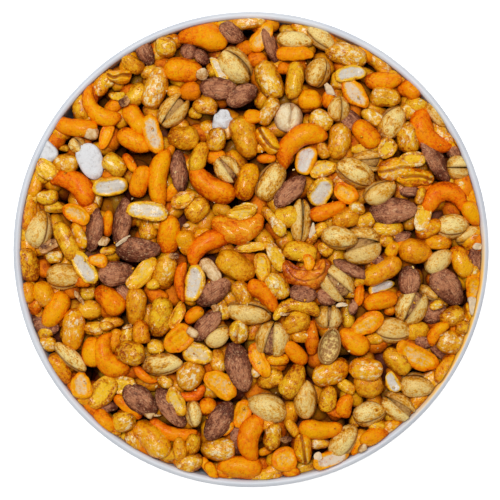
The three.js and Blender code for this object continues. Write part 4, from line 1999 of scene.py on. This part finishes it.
@dataclass(frozen=True)
class Core:
    """The mass under the nuts, coloured dark brown as painted shade: the bowl's inside, closed by an uneven
    top.

    Attributes:
        finish: Its finish.
        gap: Clearance to the bowl.
        below: How far the wall ends below the top's edge.
    """

    WALL_RINGS, FLAT_RINGS, TOP_RINGS, COLUMNS = 24, 8, 40, 96
    INNERMOST, FLAT_MARGIN, INNERMOST_SHARE = 6.0, 4.0, 0.02  # where the flat and the top begin and end

    finish: Finish
    gap: float = 0.35
    below: float = 2.0

    def build(self, heap: Heap) -> None:
        """The inside's curve up to the top's edge, then rings inwards over the top.

        Args:
            heap: Says how deep a point lies, and where the wall is.
        """
        floor = heap.bowl.floor + self.gap
        curve = heap.bowl.inside(self.WALL_RINGS)[::-1]
        edge = heap.top(heap.radius, 0) - heap.CORE_DEPTH - self.below
        wall = curve[curve[:, 1] < edge] + [-self.gap, self.gap]
        flat = np.linspace(self.INNERMOST, heap.bowl.foot_radius - self.FLAT_MARGIN, self.FLAT_RINGS)
        inward = wall[-1, 0] * np.linspace(1, self.INNERMOST_SHARE, self.TOP_RINGS)
        section = np.concatenate([stack(flat, floor), wall, stack(inward, 0.0)])
        grid, x, y, height = carried(section, floor, 0.0, self.COLUMNS)
        on_top = np.arange(len(section) + 2)[None, :, None] >= len(section) + 1 - self.TOP_RINGS
        points = grid.pick(stack(x, y, np.where(on_top, heap.core_top(x, y), height)))
        marks = np.zeros((*points.shape[:2], 4))
        marks[..., 2] = heap.sunk(points)
        batch = Batch()
        batch.add(grid, points, points, marks)
        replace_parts(batch.piece("heap_core", self.finish.material(), Slot.NUTS), "nut_heap")


# ---- The whole


@dataclass(frozen=True)
class Fill:
    """Nuts of one range of sizes, laid at random where they are hidden.

    Attributes:
        lengths: Shortest and longest.
        widths: Narrowest and widest.
    """

    REACH, RADIUS_JITTER, PLACE_JITTER = 102.0, 2.5, 2.0
    RING_RADII, RING_JITTER, RING_TURNS = (102, 106), 0.3, (-50, 50)

    lengths: tuple[float, float]
    widths: tuple[float, float]

    def lies(
        self, rng: Random, tier: Tier, x: Array, y: Array, facing: Array | float, turns: tuple[float, float]
    ) -> list[Lie]:
        """Draws length, width and turn for nuts whose middles are given.

        Args:
            rng: Draws them.
            tier: How high the nuts lie.
            x: Their middles, to the right.
            y: Their middles, towards the top.
            facing: Direction from which each is turned.
            turns: Least and most that it is turned from there.

        Returns:
            Where they lie.
        """
        long, wide = rng.uniform(*self.lengths, len(x)), rng.uniform(*self.widths, len(x))
        turn = facing + rng.uniform(*turns, len(x))
        return [Lie(*row, tier=tier) for row in stack(x, y, long, wide, turn).tolist()]

    def sunflower(self, count: int, tier: Tier, seed: int) -> list[Lie]:
        """Nuts spread evenly: radius grows as the root of the number, and the angle by 137.5 degrees.

        Args:
            count: How many.
            tier: How high they lie.
            seed: Starts the random draws.

        Returns:
            Where they lie.
        """
        rng = np.random.default_rng(seed)
        number = np.arange(count)
        radius = self.REACH * np.sqrt((number + 0.5) / count)
        radius = radius + rng.uniform(-self.RADIUS_JITTER, self.RADIUS_JITTER, count)
        angle = number * np.pi * (3 - np.sqrt(5)) + seed
        x = radius * np.cos(angle) + rng.uniform(-self.PLACE_JITTER, self.PLACE_JITTER, count)
        y = radius * np.sin(angle) + rng.uniform(-self.PLACE_JITTER, self.PLACE_JITTER, count)
        return self.lies(rng, tier, x, y, 0.0, (0, 360))

    def ring(self, count: int, tier: Tier, seed: int) -> list[Lie]:
        """Nuts along the wall, so that they close the heap at the rim.

        Args:
            count: How many.
            tier: How high they lie.
            seed: Starts the random draws.

        Returns:
            Where they lie.
        """
        rng = np.random.default_rng(seed)
        number = np.arange(count) + rng.uniform(-self.RING_JITTER, self.RING_JITTER, count)
        angle = number * 2 * np.pi / count + seed
        radius = rng.uniform(*self.RING_RADII, count)
        x, y = radius * np.cos(angle), radius * np.sin(angle)
        return self.lies(rng, tier, x, y, np.degrees(angle) + 90, self.RING_TURNS)


def shades(deep: tuple[int, ...], middle: tuple[int, ...], bright: tuple[int, ...]) -> dict[str, Colour]:
    """A coat's three colours, given as seen on a screen."""
    return {"deep": tint(*deep), "middle": tint(*middle), "bright": tint(*bright)}


HONEY = NutFinish("honey_coat", 0.28, 0.15, 0.25)
GOLDEN = replace(HONEY, name="golden_coat", cover=0.34, **shades((176, 60, 0), (246, 142, 0), (255, 188, 0)))
ORANGE = NutFinish(
    "orange_coat", 0.42, 0.08, 0.06, **shades((190, 64, 0), (255, 134, 0), (255, 178, 0)),
    patch=tint(252, 190, 70), cover=0.06, blotch=0.6, speck=0.35, warmth=0.3, amber=tint(246, 100, 0),
    grain_depth=0.5, bare=tint(240, 200, 138),
)
EMBER = NutFinish(
    "ember_coat", 0.42, 0.08, 0.06, **shades((190, 60, 0), (252, 112, 0), (255, 152, 0)),
    patch=tint(252, 180, 60), cover=0.04, blotch=0.7, speck=0.35, warmth=0.0, grain_depth=0.5,
    trim=tint(120, 40, 0),
)
FROSTED = replace(
    ORANGE, name="frosted_coat", roughness=0.3, gloss=0.3, bright=tint(255, 190, 30),
    patch=tint(255, 226, 170), cover=0.3, blotch=0.9, grain_depth=0.7,
)
# The folded coat's trim colour is the painted shade in the folds.
FOLDED = NutFinish(
    "folded_coat", 0.36, 0.2, 0.15, **shades((176, 62, 0), (234, 118, 4), (255, 166, 30)),
    patch=tint(252, 190, 80), cover=0.1, speck=0.4, warmth=0.0, grain_depth=0.5, trim=tint(130, 48, 0),
)
RUST = NutFinish(
    "rust_coat", 0.42, 0.1, **shades((150, 44, 0), (216, 90, 0), (248, 138, 0)), cover=0.03,
    speck=0.35, warmth=0.2,
)
ALMOND_SKIN = SkinFinish(
    "almond_skin", 0.55, 0.15, **shades((90, 42, 26), (140, 80, 54), (196, 130, 90)),
    patch=tint(240, 196, 146), cover=0.14, patch_size=0.7, grain_depth=0.35,
)
LOOSE_SKIN = replace(ALMOND_SKIN, name="loose_skin", middle=tint(184, 124, 66), bright=tint(226, 164, 100))
SHELL = NutFinish(
    "pistachio_shell", 0.36, 0.2, **shades((164, 84, 0), (236, 166, 24), (255, 228, 146)),
    patch=tint(170, 96, 4), blotch=1.0, stretch=2.2, cover=0.24, patch_size=0.6, speck=0.45,
    bare=tint(222, 178, 110), amber=tint(220, 150, 30), warmth=0.3, trim=tint(150, 88, 14), grain_depth=0.4,
)
# The lone half shell's inside is darker than the closed shells', as painted shade in its hollow, and the
# shell leans more to a darker amber.
HOLLOW_SHELL = replace(
    SHELL, name="hollow_shell", bare=tint(172, 124, 72), amber=tint(180, 120, 50), warmth=0.5
)
KERNEL = NutFinish(
    "pistachio_kernel", 0.5, 0.2, **shades((96, 46, 30), (156, 96, 62), (206, 156, 92)),
    patch=tint(190, 160, 60), cover=0.3, blotch=1.3, amber=tint(190, 150, 50), warmth=0.35,
)
WHITE = NutFinish(
    "white_kernel", 0.5, 0.2, **shades((186, 182, 180), (224, 224, 226), (236, 237, 240)),
    patch=tint(206, 200, 194), cover=0.08, bare=tint(232, 233, 236), speck=0.2, warmth=0.0, grain_depth=0.4,
)
CREAM = NutFinish(
    "cream_kernel", 0.45, 0.2, **shades((176, 112, 44), (226, 182, 120), (248, 218, 170)),
    patch=tint(214, 150, 60), cover=0.12, bare=tint(232, 208, 172), trim=tint(150, 84, 34), speck=0.3,
    pooled=0.3, warmth=0.0, grain_depth=0.3,
)
# The pea's trim colour, taken from the cream kernels, is the painted shade in its cleft.
PEA = replace(CREAM, name="pea_skin", **shades((196, 148, 96), (238, 210, 158), (252, 236, 196)))
# The core's dark browns are painted shade deep in the heap.
CORE = NutFinish(
    "heap_dark", 0.8, 0.1, **shades((50, 20, 4), (70, 30, 6), (90, 42, 8)), cover=0.0,
    warmth=0.0,
)


def kinds() -> list[Kind]:
    """All kinds of nut, with the fillers that lie below the ones in sight.

    Returns:
        One kind for each piece.
    """
    peanut, small, almond = Fill((14, 19), (9, 11.5)), Fill((10, 15), (7.5, 10)), Fill((19, 23), (11, 13))
    honey_fill = peanut.sunflower(110, Tier.BOTTOM, 21) + peanut.sunflower(110, Tier.LOW, 22)
    orange_fill = peanut.sunflower(80, Tier.BOTTOM, 31) + peanut.sunflower(80, Tier.LOW, 32)
    almond_fill = almond.sunflower(14, Tier.BOTTOM, 41) + almond.sunflower(20, Tier.LOW, 42)
    golden_fill = small.sunflower(150, Tier.BETWEEN, 51) + small.ring(30, Tier.UNDER, 52)
    rust_fill = small.sunflower(100, Tier.BETWEEN, 61) + small.ring(16, Tier.UNDER, 62)
    honey_fill += small.ring(40, Tier.UNDER, 23)
    crumbs = Fill((0.9, 1.8), (0.7, 1.3)).sunflower(120, Tier.CRUMB, 71)
    smooth, lumpy = ((5.5, 0.5), (2.4, 0.16), (1.1, 0.06)), ((4.0, 1.0), (1.6, 0.3))
    return [
        Peanuts("honey_peanuts", HONEY, HONEY_PEANUTS + honey_fill, Grid(18, 26), 1),
        Peanuts("golden_peanuts", GOLDEN, GOLDEN_PEANUTS + golden_fill, Grid(18, 26), 2),
        Peanuts("orange_peanuts", ORANGE, ORANGE_PEANUTS + orange_fill, Grid(22, 30), 3, bumps=smooth),
        Peanuts("rust_peanuts", RUST, RUST_PEANUTS + rust_fill, Grid(18, 26), 4),
        SplitPeanuts("split_peanuts", GOLDEN, SPLIT_PEANUTS, Grid(44, 64), 24),
        Halves("honey_halves", HONEY, HONEY_HALVES, Grid(28, 36), 5),
        Halves("orange_halves", ORANGE, ORANGE_HALVES, Grid(28, 36), 6),
        Cashews("orange_cashews", ORANGE, ORANGE_CASHEWS, Grid(44, 36), 7),
        Cashews("ember_cashews", EMBER, EMBER_CASHEWS, Grid(44, 36), 19),
        Cashews("honey_cashews", HONEY, HONEY_CASHEWS, Grid(44, 36), 20),
        Cashews("frosted_cashew", FROSTED, FROSTED_CASHEW, Grid(52, 48), 27, bumps=((4.0, 0.9), (1.6, 0.25))),
        Almonds("almonds", ALMOND_SKIN, ALMONDS + almond_fill, Grid(32, 52), 8),
        Pistachios("pistachio_shells", SHELL, PISTACHIOS, Grid(26, 32), 9),
        EmptyShells("empty_shell", HOLLOW_SHELL, EMPTY_SHELLS, Grid(30, 40), 10),
        Peanuts("blanched_peanuts", CREAM, BLANCHED, Grid(28, 40), 12),
        Halves("blanched_halves", WHITE, BLANCHED_HALVES, Grid(32, 40), 11, bumps=((5.0, 0.2),), trough=0.15),
        Cashews("crumpled_kernel", FOLDED, CRUMPLED, Grid(60, 64), 17, bumps=lumpy, folds=1.1),
        RoundPeas("round_pea", PEA, ROUND_PEAS, Grid(40, 56), 13),
        RoundPeas("golden_pea", HONEY, GOLDEN_PEAS, Grid(36, 48), 26),
        Chips("white_chips", WHITE, WHITE_CHIPS, Grid(28, 44), 18, breaks=7, bumps=((3.5, 2.4), (1.6, 0.9))),
        Chips("nut_chips", CREAM, CHIPS, Grid(16, 24), 14),
        SkinFlakes("skin_flakes", LOOSE_SKIN, SKINS, Grid(14, 24), 15),
        Chips("crumbs", HONEY, crumbs, Grid(4, 6), 25, flatness=0.6, bare_share=0.3, bumps=((1.0, 0.2),)),
    ]


@dataclass(frozen=True)
class View:
    """The light and the camera, in metres.

    Attributes:
        sky: Colour of the light from all sides.
        sky_strength: How strong it is.
        lamp_size: Side of the square lamp.
        lamp_power: Its power in watts.
        lamp_place: Where it hangs.
        lamp_aim: Height of the point above the middle that it looks at.
        camera_place: Where the camera hangs, looking straight down.
        lens: Its focal length in millimetres, for a sensor 36 mm wide.
    """

    sky: Colour = (1.0, 0.94, 0.87, 1.0)
    sky_strength: float = 0.22
    lamp_size: float = 0.45
    lamp_power: float = 9.2
    lamp_place: tuple[float, float, float] = (-0.14, 0.26, 1.14)
    lamp_aim: float = 0.07
    camera_place: tuple[float, float, float] = (-0.00046, -0.00023, 0.070 + 0.6408)
    lens: float = 100.0

    def set(self) -> None:
        """Sets the world, the lamp and the camera, and shows colours as they are."""
        scene = bpy.context.scene
        scene.view_settings.view_transform = "Standard"
        world = bpy.data.worlds.new("studio")
        world.use_nodes = True
        world.node_tree.nodes["Background"].inputs["Color"].default_value = self.sky
        world.node_tree.nodes["Background"].inputs["Strength"].default_value = self.sky_strength
        scene.world = world
        lamp = bpy.data.lights.new("soft_light", "AREA")
        lamp.size, lamp.energy = self.lamp_size, self.lamp_power
        light = bpy.data.objects.new("soft_light", lamp)
        light.location = self.lamp_place
        aim = Vector((0, 0, self.lamp_aim)) - Vector(self.lamp_place)
        light.rotation_euler = aim.to_track_quat("-Z", "Y").to_euler()
        lens = bpy.data.cameras.new("camera")
        lens.lens, lens.sensor_width = self.lens, 36.0
        camera = bpy.data.objects.new("camera", lens)
        camera.location = self.camera_place
        for made in (light, camera):
            scene.collection.objects.link(made)
        scene.camera = camera


def floor(half: float = 3.0) -> None:
    """Lays a plain pale floor, half as wide as given in metres, which isn't part of the object.

    Args:
        half: Half its width, in metres.
    """
    mesh = bpy.data.meshes.new("floor")
    corners = [(-half, -half, 0), (half, -half, 0), (half, half, 0), (-half, half, 0)]
    mesh.from_pydata(corners, [], [(0, 1, 2, 3)])
    mesh.materials.append(FloorFinish("floor_paint", 0.9).material())
    made = bpy.data.objects.new("floor", mesh)
    bpy.context.scene.collection.objects.link(made)


def main() -> None:
    """Builds the bowl, the core and the nuts, and sets up the view."""
    logging.basicConfig(level=logging.INFO, format="%(message)s")
    View().set()
    floor()
    bowl = Bowl()
    bowl.build(GlazeFinish("white_glaze", 0.42))
    heap = Heap(bowl)
    Core(CORE).build(heap)
    every = kinds()
    settled = heap.settle(every)
    for kind in every:
        kind.build(heap, settled[kind.name])
    shells = next(kind for kind in every if kind.name == "pistachio_shells")
    open_enough = 5
    opened = [lie.gape > open_enough for lie in shells.lies]
    lain = [lie for lie, shown in zip(shells.lies, opened) if shown]
    kernels = Kernels("pistachio_kernels", KERNEL, lain, Grid(18, 28), 16)
    kernels.build(heap, settled[shells.name].only(np.array(opened)))


if __name__ == "__main__":
    main()
